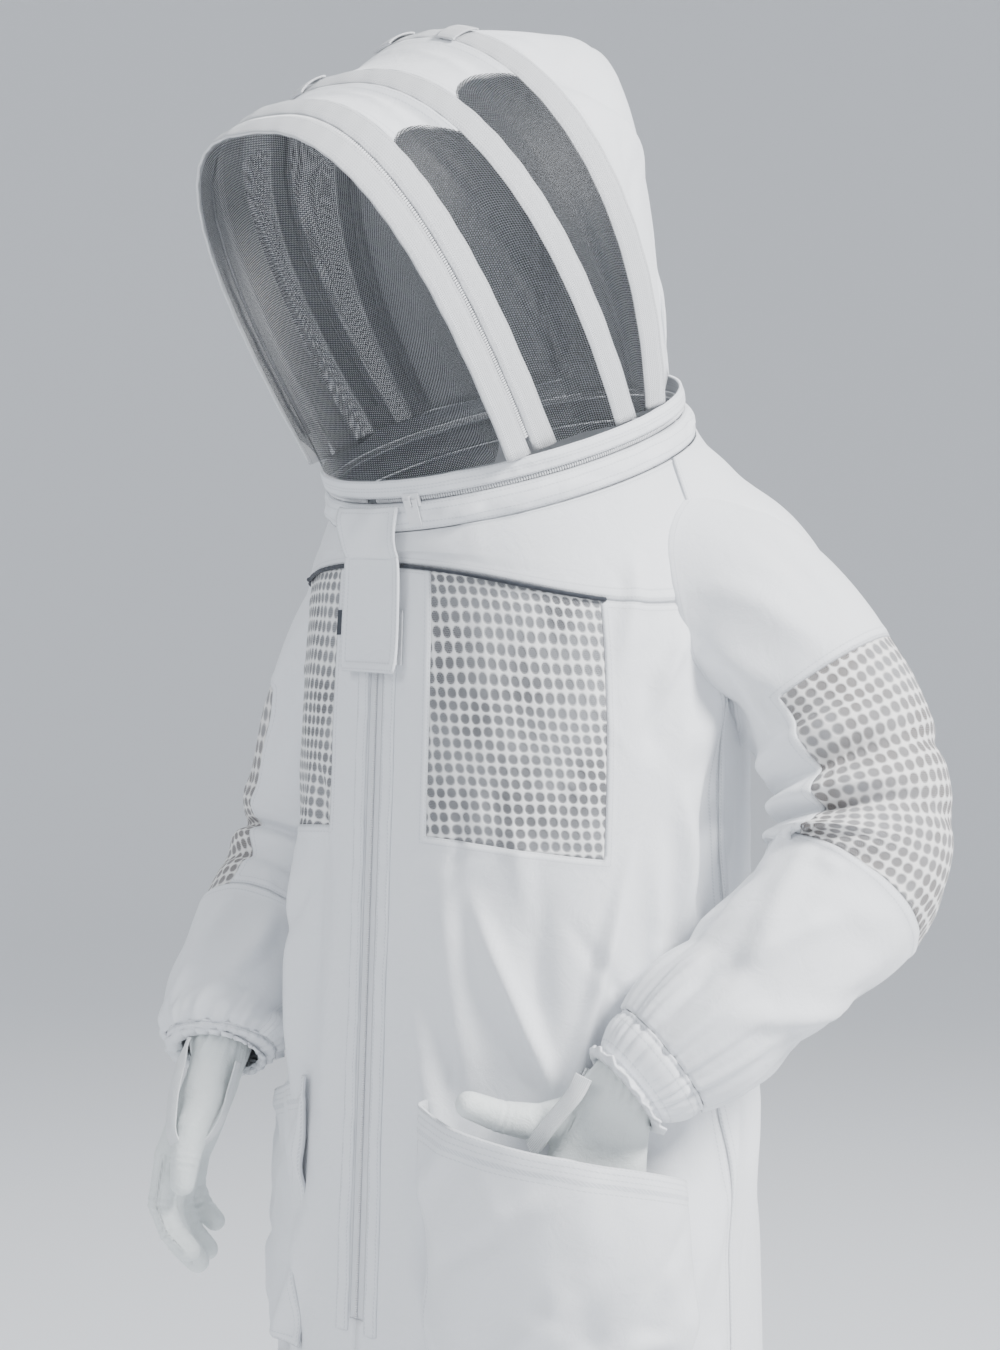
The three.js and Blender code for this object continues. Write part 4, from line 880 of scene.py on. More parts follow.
hoops = {  # where the foot is, how far inside the ring, height, lean in degrees, belly and roundness
    "front": (58, 8, 338, 32.5, 17, 0.71),
    "middle": (92, 6, 348, 31.5, 34, 0.8),
    "rear": (107, 8, 354, 22, 64, 0.94),
    "bag": (152, 2, 318, 9, 6, 0.62),
}
visor_gap, hoop_tape, hoop_wall = 2.5, 25.0, 2.2
hood_floor = 18.1


def hoop_point(hoop, phi, forward=0.0, inside=0.0):
    """A hoop's line: sine and cosine of phi to a power, leaning forward, bellied out half-way up."""
    foot_angle, inset, height, lean, belly, roundness = hoops[hoop]
    foot = ring_point(foot_angle, collar_radius - inset, 0)
    phi, forward, inside = np.broadcast_arrays(*(np.asarray(q, float) for q in (phi, forward, inside)))
    s, c = power(np.sin(np.radians(phi)), roundness), power(np.cos(np.radians(phi)), roundness)
    x = (foot[0] - inside) * s + belly * 2 * s * c * (1 - 0.4 * c)
    up, lean = (height - inside) * c, math.radians(lean)
    return np.stack([x, foot[1] - up * math.sin(lean) - forward * math.cos(lean),
                     foot[2] + up * math.cos(lean) - forward * math.sin(lean)], -1)


def chin(phi):
    return ring_point(power(np.sin(np.radians(phi)), 0.9) * 45, collar_radius, 18.4)


def nape(phi):
    return ring_point(180 - power(np.sin(np.radians(phi)), 0.9) * 26, collar_radius, 2.4)


on_hoop = lambda hoop, forward, inside=0.0: lambda phi: hoop_point(hoop, phi, forward, inside)


def over_floor(points):
    return points @ tilt_up - (np.array([0, 0, collar_height]) @ tilt_up + hood_floor)


def stretched(first, second):
    """The surface of straight threads from one line to another: phi across the head, t from line to line."""
    return lambda phi, t: first(phi) * (1 - np.asarray(t)[..., None]) + second(phi) * np.asarray(t)[..., None]


def foot_of(surface, t):
    """The largest phi at which the surface is still over the hem band, for each t, by halving."""
    low, high = np.full(np.shape(t), 45.0), np.full(np.shape(t), 89.9)
    for _ in range(30):
        middle = (low + high) / 2
        over = over_floor(surface(middle, t)) > 0
        low, high = np.where(over, middle, low), np.where(over, high, middle)
    return low


def patch(name, first, second, across, rows, columns, wall, shape=None, seam_rows=True):
    """A patch of the hood between two lines. across(t) gives phi at its two ends; shape(share, t, phi) its lift."""
    surface = stretched(first, second)
    share, t = np.meshgrid(np.linspace(0, 1, columns), np.linspace(0, 1, rows))
    start, end = across(surface, t)
    phi = start + (end - start) * share
    lift = 0 * phi if shape is None else shape(share, t, phi)
    points = off(surface, phi, t, lift)
    down = np.cumsum(np.linalg.norm(np.diff(points, axis=1, prepend=points[:, :1]), axis=-1), axis=1)
    wide = np.linalg.norm(surface(0 * t[:, 0] + 20, 0 * t[:, 0]) - surface(0 * t[:, 0] + 20, 0 * t[:, 0] + 1),
        axis=-1)[0]
    seam = np.minimum(t, 1 - t) * wide if seam_rows else None
    middle = np.median(down, axis=1, keepdims=True)
    return lay(name, points, np.stack([down - middle, t * wide], -1), seam, None, wall)


whole = lambda surface, t: (-foot_of(surface, t), foot_of(surface, t))


def webbing_finish():
    """White webbing: a herringbone of thick yarns between two plain selvedges."""
    material, wire, shader = begin("white webbing", 0.72, 0.3, Sheen_Roughness=0.4)
    flat = wire.node("UVMap", uv_map="cloth")
    u, v = (flat.node("SeparateXYZ", {0: flat}, out=k) for k in (0, 1))
    seam = wire.node("Attribute", attribute_name="seam", out=2)
    bend = wire.node("Math", {0: v, 1: 0.0044}, operation="PINGPONG")
    bone = wire.node("Math", {0: (u + bend * 1.6) * (2 * math.pi / 0.0021)}, operation="SINE")
    warp = wire.node("Math", {0: v * (2 * math.pi / 0.0022)}, operation="SINE")
    place = wire.node("TexCoord", out=3)
    tone = wire.node("TexNoise", {"Vector": place, "Scale": 40.0, "Detail": 4.0})
    dash = wire.node("Math", {0: u / 0.0034}, operation="FRACT") < 0.66
    line = wire.node("Math", {0: seam - 0.003}, operation="ABSOLUTE") < 0.0005
    stitch = line * dash
    shade = wire.node("MapRange", {0: bone + warp * 0.5, 1: -1.5, 2: 1.5, 3: 0.55, 4: 0.0})
    cloth = wire.node("Mix", {0: shade + tone * 0.25, 6: (0.88, 0.89, 0.905, 1), 7: (0.63, 0.65, 0.69, 1)},
        out=2, data_type="RGBA")
    sewn = wire.node("Mix", {0: stitch * 0.4, 6: cloth, 7: (0.45, 0.47, 0.52, 1)}, out=2, data_type="RGBA")
    finish_with(wire, shader, sewn,
        [(tone, 0.002, 0.3), (bone + warp * 0.6, 0.0004, 0.8), (stitch * -1.0, 0.0006, 0.6)])
    return material


white_webbing = webbing_finish()


def veil_finish(name, thread, cover):
    """Veil net: round threads in a small hexagonal mesh, open between them."""
    material, wire, shader = begin(name, 0.6, 0.0)
    flat = wire.node("UVMap", uv_map="cloth")
    u, v = (flat.node("SeparateXYZ", {0: flat}, out=k) for k in (0, 1))
    pitch = 0.0021
    a = wire.node("Math", {0: u / pitch}, operation="FRACT") - 0.5
    b = wire.node("Math", {0: v / (pitch * 1.732)}, operation="FRACT") - 0.5
    c = wire.node("Math", {0: u / pitch + 0.5}, operation="FRACT") - 0.5
    d = wire.node("Math", {0: v / (pitch * 1.732) + 0.5}, operation="FRACT") - 0.5
    near = wire.node("Math", {0: a * a + b * b * 3.0, 1: c * c + d * d * 3.0}, operation="MINIMUM")
    open_part = near < cover
    tone = wire.node("TexNoise", {"Vector": wire.node("TexCoord", out=3), "Scale": 30.0, "Detail": 3.0})
    lighter = tuple(q * 2.4 + 0.01 for q in thread[:3]) + (1,)
    colour = wire.node("Mix", {0: tone, 6: thread, 7: lighter}, out=2, data_type="RGBA")
    finish_with(wire, shader, colour, [(near, 0.0003, 0.6)], 1 - open_part)
    return material


black_veil = veil_finish("black veil net", (0.010, 0.011, 0.013, 1), 0.125)

tape_crown = lambda share, t, phi: 1.5 * np.sin(math.pi * t) ** 0.7 + 0.35 * np.sin(phi * 0.9 + 2 * t)
edge_tapes = (
    ("hood_front_tape", "front_tape", "hood", on_hoop("front", -visor_gap), on_hoop("front", -visor_gap - hoop_tape)),
    ("hood_middle_tape", "middle_tape", "hood", on_hoop("middle", 12.5), on_hoop("middle", -12.5)),
    ("hood_rear_tape", "rear_tape", "hood", on_hoop("rear", 12.5), on_hoop("rear", -12.5)),
    ("visor_edge_tape", "visor_tape", "visor", on_hoop("front", visor_gap + hoop_tape), on_hoop("front", visor_gap)),
)
for name, node, body_name, first, second in edge_tapes:
    webbing = patch(name, first, second, whole, 13, 260, hoop_wall, tape_crown)
    dress(webbing, white_webbing, "webbing", body_name, node)

top_half = {"front": 33.0, "rear": 26.0}


def scallop(half, t):
    """The lower edge of a cotton top: it dips beside the tapes and rises between them."""
    return half + 5.0 * (2 * t - 1) ** 2 - 1.6


def sag(depth, seed, high):
    """Cloth that hangs in a little between its hoops, with creases along it."""
    def lift(share, t, phi):
        fine = crumple(phi * 3.2, t * 90, seed, 46, ((-300, 300), (0, 90)), (30, 150), (5, 12), high, 1.2, 0.5)
        return (-depth * np.sin(math.pi * t) + fine * np.sin(math.pi * t) ** 0.5)
    return lift


tops = (
    ("front", on_hoop("front", -visor_gap - hoop_tape), on_hoop("middle", 12.5)),
    ("rear", on_hoop("middle", -12.5), on_hoop("rear", 12.5)),
)
for place_name, first, second in tops:
    half = top_half[place_name]
    limits = lambda surface, t: (-scallop(half, t), scallop(half, t))
    top = patch(f"hood_top_{place_name}", first, second, limits, 25, 90, cotton, sag(5, 61, 1.4))
    dress(top, white_cotton, "cotton", "hood", f"top_{place_name}")
    for side, sign in (("left", 1), ("right", -1)):
        def limits(surface, t):
            near, far = scallop(half, t) - 0.7, foot_of(surface, t)
            return (near, far) if sign > 0 else (-far, -near)
        veil = patch(f"veil_{place_name}_{side}", first, second, limits, 21, 90, 0, sag(4, 62, 0.9))
        dress(veil, black_veil, "veil_net", "hood", f"net_{place_name}_{side}")


def visor_sag(share, t, phi):
    """The visor's net: a little hollow, with soft upright pleats where it was folded."""
    pleats = 2.4 * np.sin(phi / 7.0 + 0.6) * np.exp(-((phi + 25) / 22) ** 2) + 1.2 * np.sin(phi / 5.0)
    return (pleats - 3.0) * np.sin(math.pi * t) ** 0.8


visor_limits = lambda surface, t: (-86 + 0 * t, 86 + 0 * t)
visor_veil = patch("visor_veil", chin, on_hoop("front", visor_gap + hoop_tape - 2, hoop_wall + 1.2),
    visor_limits, 40, 140, 0, visor_sag)
dress(visor_veil, black_veil, "veil_net", "visor", "visor_net")


def bag_folds(share, t, phi):
    """The bag's soft crumples: deep folds fall from its back corners, and finer ones cross them."""
    broad = crumple(phi * 2.6, t * 160, 71, 30, ((-230, 230), (0, 320)), (90, 240), (12, 22), 5.6, 0.3, 0.8)
    fine = crumple(phi * 2.6, t * 160, 72, 60, ((-230, 230), (0, 320)), (30, 90), (5, 9), 2.2, 0.0, 1.2)
    return (broad + fine - 2.0) * ease(t, 0.0, 0.12)


def back_surface(phi, t):
    """The bag: from the rear hoop's tape back to its own line, and from that line down to the nape."""
    t = np.asarray(t, float)
    first, second, third = on_hoop("rear", -12.5)(phi), on_hoop("bag", 0)(phi), nape(phi)
    a, b = np.clip(t, 0, 1)[..., None], np.clip(t - 1, 0, 1)[..., None]
    bend = (0.5 * np.exp(-((t - 1) / 0.12) ** 2))[..., None] * 0.12
    straight = (first * (1 - a) + second * a) * (t < 1)[...,
        None] + (second * (1 - b) + third * b) * (t >= 1)[..., None]
    return straight * (1 - bend) + (first + third) / 2 * bend


S, T = np.meshgrid(np.linspace(-1, 1, 150), sample(0.028, 0.004, 1, 1.999))
reach = foot_of(back_surface, T)
phi = S * reach
share = (S + 1) / 2
points = off(back_surface, phi, T, bag_folds(share, T, phi))
down = np.cumsum(np.linalg.norm(np.diff(points, axis=1, prepend=points[:, :1]), axis=-1), axis=1)
bag = lay("hood_bag", points, np.stack([down, T * 160], -1), np.minimum(T * 160, 99), None, cotton)
dress(bag, white_cotton, "cotton", "hood", "hood_back")

phi = np.linspace(-88, 88, 420)
line = hoop_point("front", phi, 0, 1.2)
inner = hoop_point("front", phi, 0, 12.0)
visor_teeth = teeth("zip_visor_teeth", line, line - inner, 2.2, 1.8)
dress(visor_teeth, white_nylon, "nylon", "hood", "visor_zip")


def steel_finish():
    """Spring steel wire: bright, drawn along its length, a little dulled."""
    material, wire, shader = begin("spring steel", 0.32, 0.0, Metallic=0.95)
    tone = wire.node("TexNoise", {"Vector": wire.node("TexCoord", out=3), "Scale": 160.0, "Detail": 3.0})
    colour = wire.node("Mix", {0: tone, 6: (0.60, 0.61, 0.63, 1), 7: (0.42, 0.43, 0.45, 1)}, out=2, data_type="RGBA")
    finish_with(wire, shader, colour, [(tone, 0.0003, 0.3)])
    return material


give(steel_finish(), "front_hoop", "middle_hoop", "rear_hoop")

# Keepers: short folded loops of the same webbing, sewn across the middle and the rear tape at the top.
for hoop, phis in (("middle", (-13.5, -8.5)), ("rear", (-12.5, -6.5)), ("rear", (7.0, 12.0))):
    limits = lambda surface, t: (phis[0] + 0 * t, phis[1] + 0 * t)
    hump = lambda share, t, phi: 2.0 + 3.4 * np.sin(math.pi * t) ** 0.6
    keeper = patch(f"hood_keeper_{hoop}_{'a' if phis[0] < 0 else 'b'}", on_hoop(hoop, 15.5),
        on_hoop(hoop, -15.5), limits, 19, 13, 1.6, hump)
    dress(keeper, white_webbing, "webbing", "hood")

# ------------------------------------------------------------------ the sleeves
# Full cotton sleeves set into round armholes, with a window of ventilation mesh over each elbow. The cloth is
# gathered into a wrist cuff with two rows of elastic thread, so it blouses over the cuff.

body_grid_a, body_grid_l = np.meshgrid(np.linspace(0, 360, 145), np.linspace(0, neck_edge, 90))
hull = body(body_grid_a, body_grid_l)
n = hull.shape[1]
j, i = np.meshgrid(np.arange(hull.shape[0] - 1), np.arange(n - 1), indexing="ij")
hull_faces = np.stack([j * n + i, j * n + i + 1, (j + 1) * n + i + 1, (j + 1) * n + i], -1).reshape(-1, 4)
body_tree = BVHTree.FromPolygons([Vector(p) for p in hull.reshape(-1, 3)], hull_faces.tolist())


def inside_body(point):
    near, normal, _, _ = body_tree.find_nearest(Vector(point))
    return (Vector(point) - near).dot(normal) < 0


round_arm = np.linspace(-180, 180, 121)
elbow_from, elbow_to, elbow_half, sleeve_round = 0.33, 0.65, 82.0, 1.25
armhole = {}
for hand in arm_path:
    shares = np.linspace(0.0, 0.34, 110)
    grid = sleeve(hand, round_arm[None], shares[:, None])
    inside = np.array([[inside_body(p) for p in row] for row in grid])
    last = inside.shape[0] - 1 - np.argmax(inside[::-1], axis=0)
    line = np.where(inside.any(axis=0), shares[last], 0.02)
    smooth = np.convolve(np.concatenate([line[-4:-1], line, line[1:4]]), np.ones(7) / 7, "valid")
    armhole[hand] = smooth

length_of = lambda hand: float(np.sum(np.linalg.norm(np.diff(arm_line(hand, np.linspace(0, 1, 201)), axis=0),
    axis=-1)))
cuff_from = {hand: 1 - 34 / length_of(hand) for hand in arm_path}
# Folds of the sleeves: from (degrees, share) to (degrees, share), width and height in mm.
sleeve_folds = {
    "left": [((10, .445), (175, .475), 9, -16), ((20, .525), (185, .54), 9, -17), ((-60, .46), (20, .45), 9, -5),
             ((-50, .54), (40, .525), 9, -5), ((30, .40), (150, .42), 13, 10), ((20, .49), (150, .505), 11, 9),
             ((25, .585), (160, .60), 13, 10), ((100, .12), (80, .33), 14, 7), ((140, .12), (128, .34), 10, -8),
             ((60, .10), (40, .32), 12, 5), ((10, .12), (20, .30), 12, -3), ((165, .14), (158, .38), 12, 7),
             ((75, .66), (20, .90), 14, 6), ((120, .66), (88, .93), 12, -6), ((150, .68), (122, .94), 13, 7),
             ((-30, .68), (-12, .92), 15, 6), ((-80, .66), (-50, .90), 12, -5), ((10, .70), (50, .86), 9, 3.5),
             ((60, .84), (40, .95), 8, -5), ((100, .82), (96, .955), 8, 5), ((-110, .2), (-130, .5), 14, 6)],
    "right": [((-20, .50), (-170, .53), 9, -9), ((-40, .58), (-180, .60), 9, -9), ((-10, .45), (-150, .47), 12, 5),
              ((-30, .54), (-160, .565), 11, 5), ((-100, .12), (-80, .36), 14, 6), ((-60, .14), (-50, .40), 12, -5),
              ((-130, .2), (-120, .42), 13, 6), ((-90, .66), (-60, .92), 13, 7), ((-50, .68), (-30, .92), 12, -6),
              ((-130, .66), (-110, .93), 12, 6), ((-10, .68), (-8, .92), 13, 5), ((40, .66), (30, .9), 14, 5),
              ((90, .3), (100, .6), 14, 6), ((150, .62), (165, .92), 12, 6)],
}


def sleeve_cloth(hand, angle, t, lift=0.0):
    """The worn sleeve: its round form with its folds, a fine crumple, and gathers where it meets its cuff."""
    angle, t = np.broadcast_arrays(np.asarray(angle, float), np.asarray(t, float))
    s, w, turn = angle * sleeve_round, t * 620.0, 360 * sleeve_round
    total = 0 * s
    for (a0, t0), (a1, t1), wide, high in sleeve_folds[hand]:
        total = total + ridge(s, w, (a0 * sleeve_round, t0 * 620), (a1 * sleeve_round, t1 * 620), wide, high, turn)
    seed = 81 if hand == "left" else 82
    total = total + crumple(s, w, seed, 70, ((-225, 225), (40, 600)), (50, 180), (8, 18), 3.2, 0.35, 0.6, turn)
    total = total + crumple(s, w, seed + 5, 110, ((-225, 225), (40, 600)), (18, 60), (4, 8), 1.1, 0.8, 1.2, turn)
    near_cuff = ease(t, cuff_from[hand] - 0.13, cuff_from[hand] - 0.005)
    a = np.radians(angle)
    gathers = 2.4 * np.sin(13 * a + 1.3 * np.sin(3 * a)) + 1.2 * np.sin(29 * a + 2 * np.sin(5 * a))
    blouse = 7.0 * np.sin(math.pi * np.clip((t - cuff_from[hand] + 0.11) / 0.115, 0, 1)) ** 1.2
    total = total * (1 - 0.75 * near_cuff) * (0.35 + 0.65 * ease(t, 0.1, 0.2)) + gathers * near_cuff + blouse
    return off(lambda u, v: sleeve(hand, u, v), angle, t, total + lift)


for hand in arm_path:
    vent_marks = (-180, -elbow_half, elbow_half, 180)
    a = sample(2.7, *vent_marks)
    start = np.interp(a, round_arm, armhole[hand]) - 0.012
    rise = np.concatenate([np.linspace(0, 1, 34)[:-1], [1.0]])
    upper = start[None] + (elbow_from - start[None]) * rise[:, None]
    lower = np.broadcast_to(np.linspace(elbow_from, elbow_to, 46)[1:, None], (45, len(a)))
    T = np.concatenate([upper, lower])
    A = np.broadcast_to(a, T.shape)
    arc = T * 620
    seam = np.minimum(np.minimum((T - start - 0.012) * 620, 99), from_edges(T, elbow_to) * 620)
    box = np.maximum(np.maximum(np.abs(A) - elbow_half, 0) * sleeve_round, (elbow_from - T) * 620)
    seam = np.maximum(np.minimum(seam, np.maximum(box, 0)), 0)
    points = sleeve_cloth(hand, A, T, welt(seam) * ease(T - start, 0.0, 0.02))
    middle_a, middle_t = cell_middle(A[..., None])[..., 0], cell_middle(T[..., None])[..., 0]
    keep = ~((np.abs(middle_a) < elbow_half) & (middle_t > elbow_from))
    flat = np.stack([A * sleeve_round, arc], -1)
    top_sleeve = lay(f"sleeve_upper_cloth_{hand}", points, flat, seam, keep, cotton, True)
    dress(top_sleeve, white_cotton, "cotton", "suit", f"sleeve_upper_{hand}")

    A, T = np.meshgrid(np.linspace(-elbow_half, elbow_half, 90), np.linspace(elbow_from, elbow_to, 100))
    seam = np.minimum((elbow_half - np.abs(A)) * sleeve_round, from_edges(T, elbow_from, elbow_to) * 620)
    points = sleeve_cloth(hand, A, T, vent_sink(seam))
    elbow = lay(f"mesh_elbow_{hand}", points, np.stack([A * sleeve_round, T * 620], -1), None, None, spacer)
    dress(elbow, warm_vent, "spacer_mesh", "suit", f"elbow_vent_{hand}")

    A, T = np.meshgrid(sample(2.2, -180, 180), np.linspace(elbow_to, cuff_from[hand] - 0.001, 62))
    seam = np.minimum((T - elbow_to) * 620, 99)
    underarm = np.abs(np.abs(A) - 180) * sleeve_round
    seam = np.minimum(seam, underarm + 2.0)
    points = sleeve_cloth(hand, A, T, welt(seam))
    forearm = lay(f"sleeve_lower_cloth_{hand}", points, np.stack([A * sleeve_round, T * 620], -1), seam, None,
        cotton, True)
    dress(forearm, white_cotton, "cotton", "suit", f"sleeve_lower_{hand}")

    # The cuff: small upright pleats drawn in by two rows of elastic thread, with a short frill at the hand.
    A, S = np.meshgrid(np.linspace(-180, 180, 361), np.linspace(0, 1, 34))
    a = np.radians(A)
    pleats = 1.9 * np.abs(np.sin(12 * a + 1.1 * np.sin(2 * a) + 0.5 * np.sin(5 * a))) ** 0.7 + 0.7 * np.sin(31
        * a + 2 * np.sin(4 * a))
    rows_of_thread = 2.0 * np.exp(-(((S - 0.80) / 0.05) ** 2)) + 1.5 * np.exp(-(((S - 0.06) / 0.05) ** 2))
    frill = 2.6 * ease(S, 0.82, 1.0) * (0.6 + 0.6 * np.sin(17 * a + 1.5 * np.sin(3 * a)))
    lift = 0.6 - 9.0 * ease(S, 0.25,
        1.0) + pleats * (0.45 + 0.55 * np.sin(math.pi * np.clip(S / 0.8, 0, 1)) ** 0.6) - rows_of_thread + frill
    T = cuff_from[hand] + S * (1 - cuff_from[hand])
    points = off(lambda u, v: sleeve(hand, u, v), A, T, lift)
    flat = np.stack([A * 0.75, S * 34], -1)
    cuff = lay(f"wrist_cuff_cloth_{hand}", points, flat,
        np.minimum(np.abs(S - 0.8), np.abs(S - 0.06)) * 34 + 0.0022 * 1000, None, 2.2, True)
    dress(cuff, white_cotton, "elastic", "suit", f"wrist_cuff_{hand}")

# ------------------------------------------------------------------ the gloves
# Soft white goatskin, cut in a front and a back with strips between the fingers and sewn with the seams outside.
# The right one hangs half curled; the left one is in the pocket with its thumb outside.

def leather_finish():
    """Soft white leather, faintly green: a pebbled grain, stretch creases and closed seams with painted shade along
    their lines.
    """
    material, wire, shader = begin("white goatskin", 0.58, 0.12)
    place = wire.node("TexCoord", out=3)
    seam = wire.node("Attribute", attribute_name="seam", out=2)
    grain = wire.node("TexVoronoi", {"Vector": place, "Scale": 620.0}, feature="F1")
    wrinkle = wire.node("TexNoise",
        {"Vector": place, "Scale": 75.0, "Detail": 5.0, "Roughness": 0.6, "Distortion": 1.2})
    tone = wire.node("TexNoise", {"Vector": place, "Scale": 22.0, "Detail": 4.0})
    # line is 1 on a seam's line: painted dark grey below as the shade in its crevice, and sunk in the bump.
    line = wire.node("MapRange", {0: seam, 1: 0.0002, 2: 0.0012, 3: 1.0, 4: 0.0})
    bank = wire.node("MapRange", {0: seam, 1: 0.0008, 2: 0.0036, 3: 1.0, 4: 0.0})
    skin = wire.node("Mix", {0: tone, 6: (0.80, 0.835, 0.83, 1), 7: (0.70, 0.745, 0.74, 1)}, out=2, data_type="RGBA")
    # The seam's line is painted a dark grey shade over the skin.
    sewn = wire.node("Mix", {0: line * 0.5, 6: skin, 7: (0.40, 0.43, 0.44, 1)}, out=2, data_type="RGBA")
    finish_with(wire, shader, sewn, [(wrinkle, 0.003, 0.5), (grain, 0.00025, 0.5), (bank - line * 1.4, 0.0012, 0.9)])
    return material


goatskin = leather_finish()
fingers = [((86, 29), (42, 26, 22), 12.0), ((90, 9), (46, 29, 23), 12.4), ((87, -11), (43, 27, 22), 12.0),
    ((80, -30), (34, 21, 19), 11.0)]
hand_facts = {  # down the hand, out of the palm, how far it is curled, and the thumb's balls
    "right": ((-0.26, -0.28, -1), (0.82, 0.47, 0), 1.0,
        [(22, 20, 8, 18), (52, 42, 15, 15), (78, 50, 22, 13), (98, 50, 28, 11)]),
    "left": ((-0.17, -0.17, -0.97), (-0.73, 0.68, 0), 0.1,
        [(18, 20, 6, 18), (34, 52, 4, 16), (36, 84, 0, 13.5), (32, 112, -4, 11.5)]),
}


def arc_point(hand, before_end):
    """The point of the arm's line that is so many mm before its end, along it."""
    t = np.linspace(0.5, 1, 2001)
    line = arm_line(hand, t)
    left = np.sum(np.linalg.norm(np.diff(line, axis=0), axis=-1)) - np.concatenate([[0],
        np.cumsum(np.linalg.norm(np.diff(line, axis=0), axis=-1))])
    return line[np.argmin(np.abs(left - before_end))]


def hand_frame(hand):
    down, palm, curl, thumb = hand_facts[hand]
    tangent = unit(arm_line(hand, 1.0) - arm_line(hand, 1 - 1e-4))
    d = unit(np.array(down, float))
    n = np.array(palm, float)
    n = unit(n - d * (n @ d))
    t = np.cross(n, d) * arm_side[hand]
    return arm_line(hand, 1.0) + tangent * 8, tangent, d, n, t


def hull_of(balls, spots):
    """Balls (centre, radius) as points on spheres of the given unit spots."""
    return np.concatenate([np.array(c) + spots * r for c, r in balls])



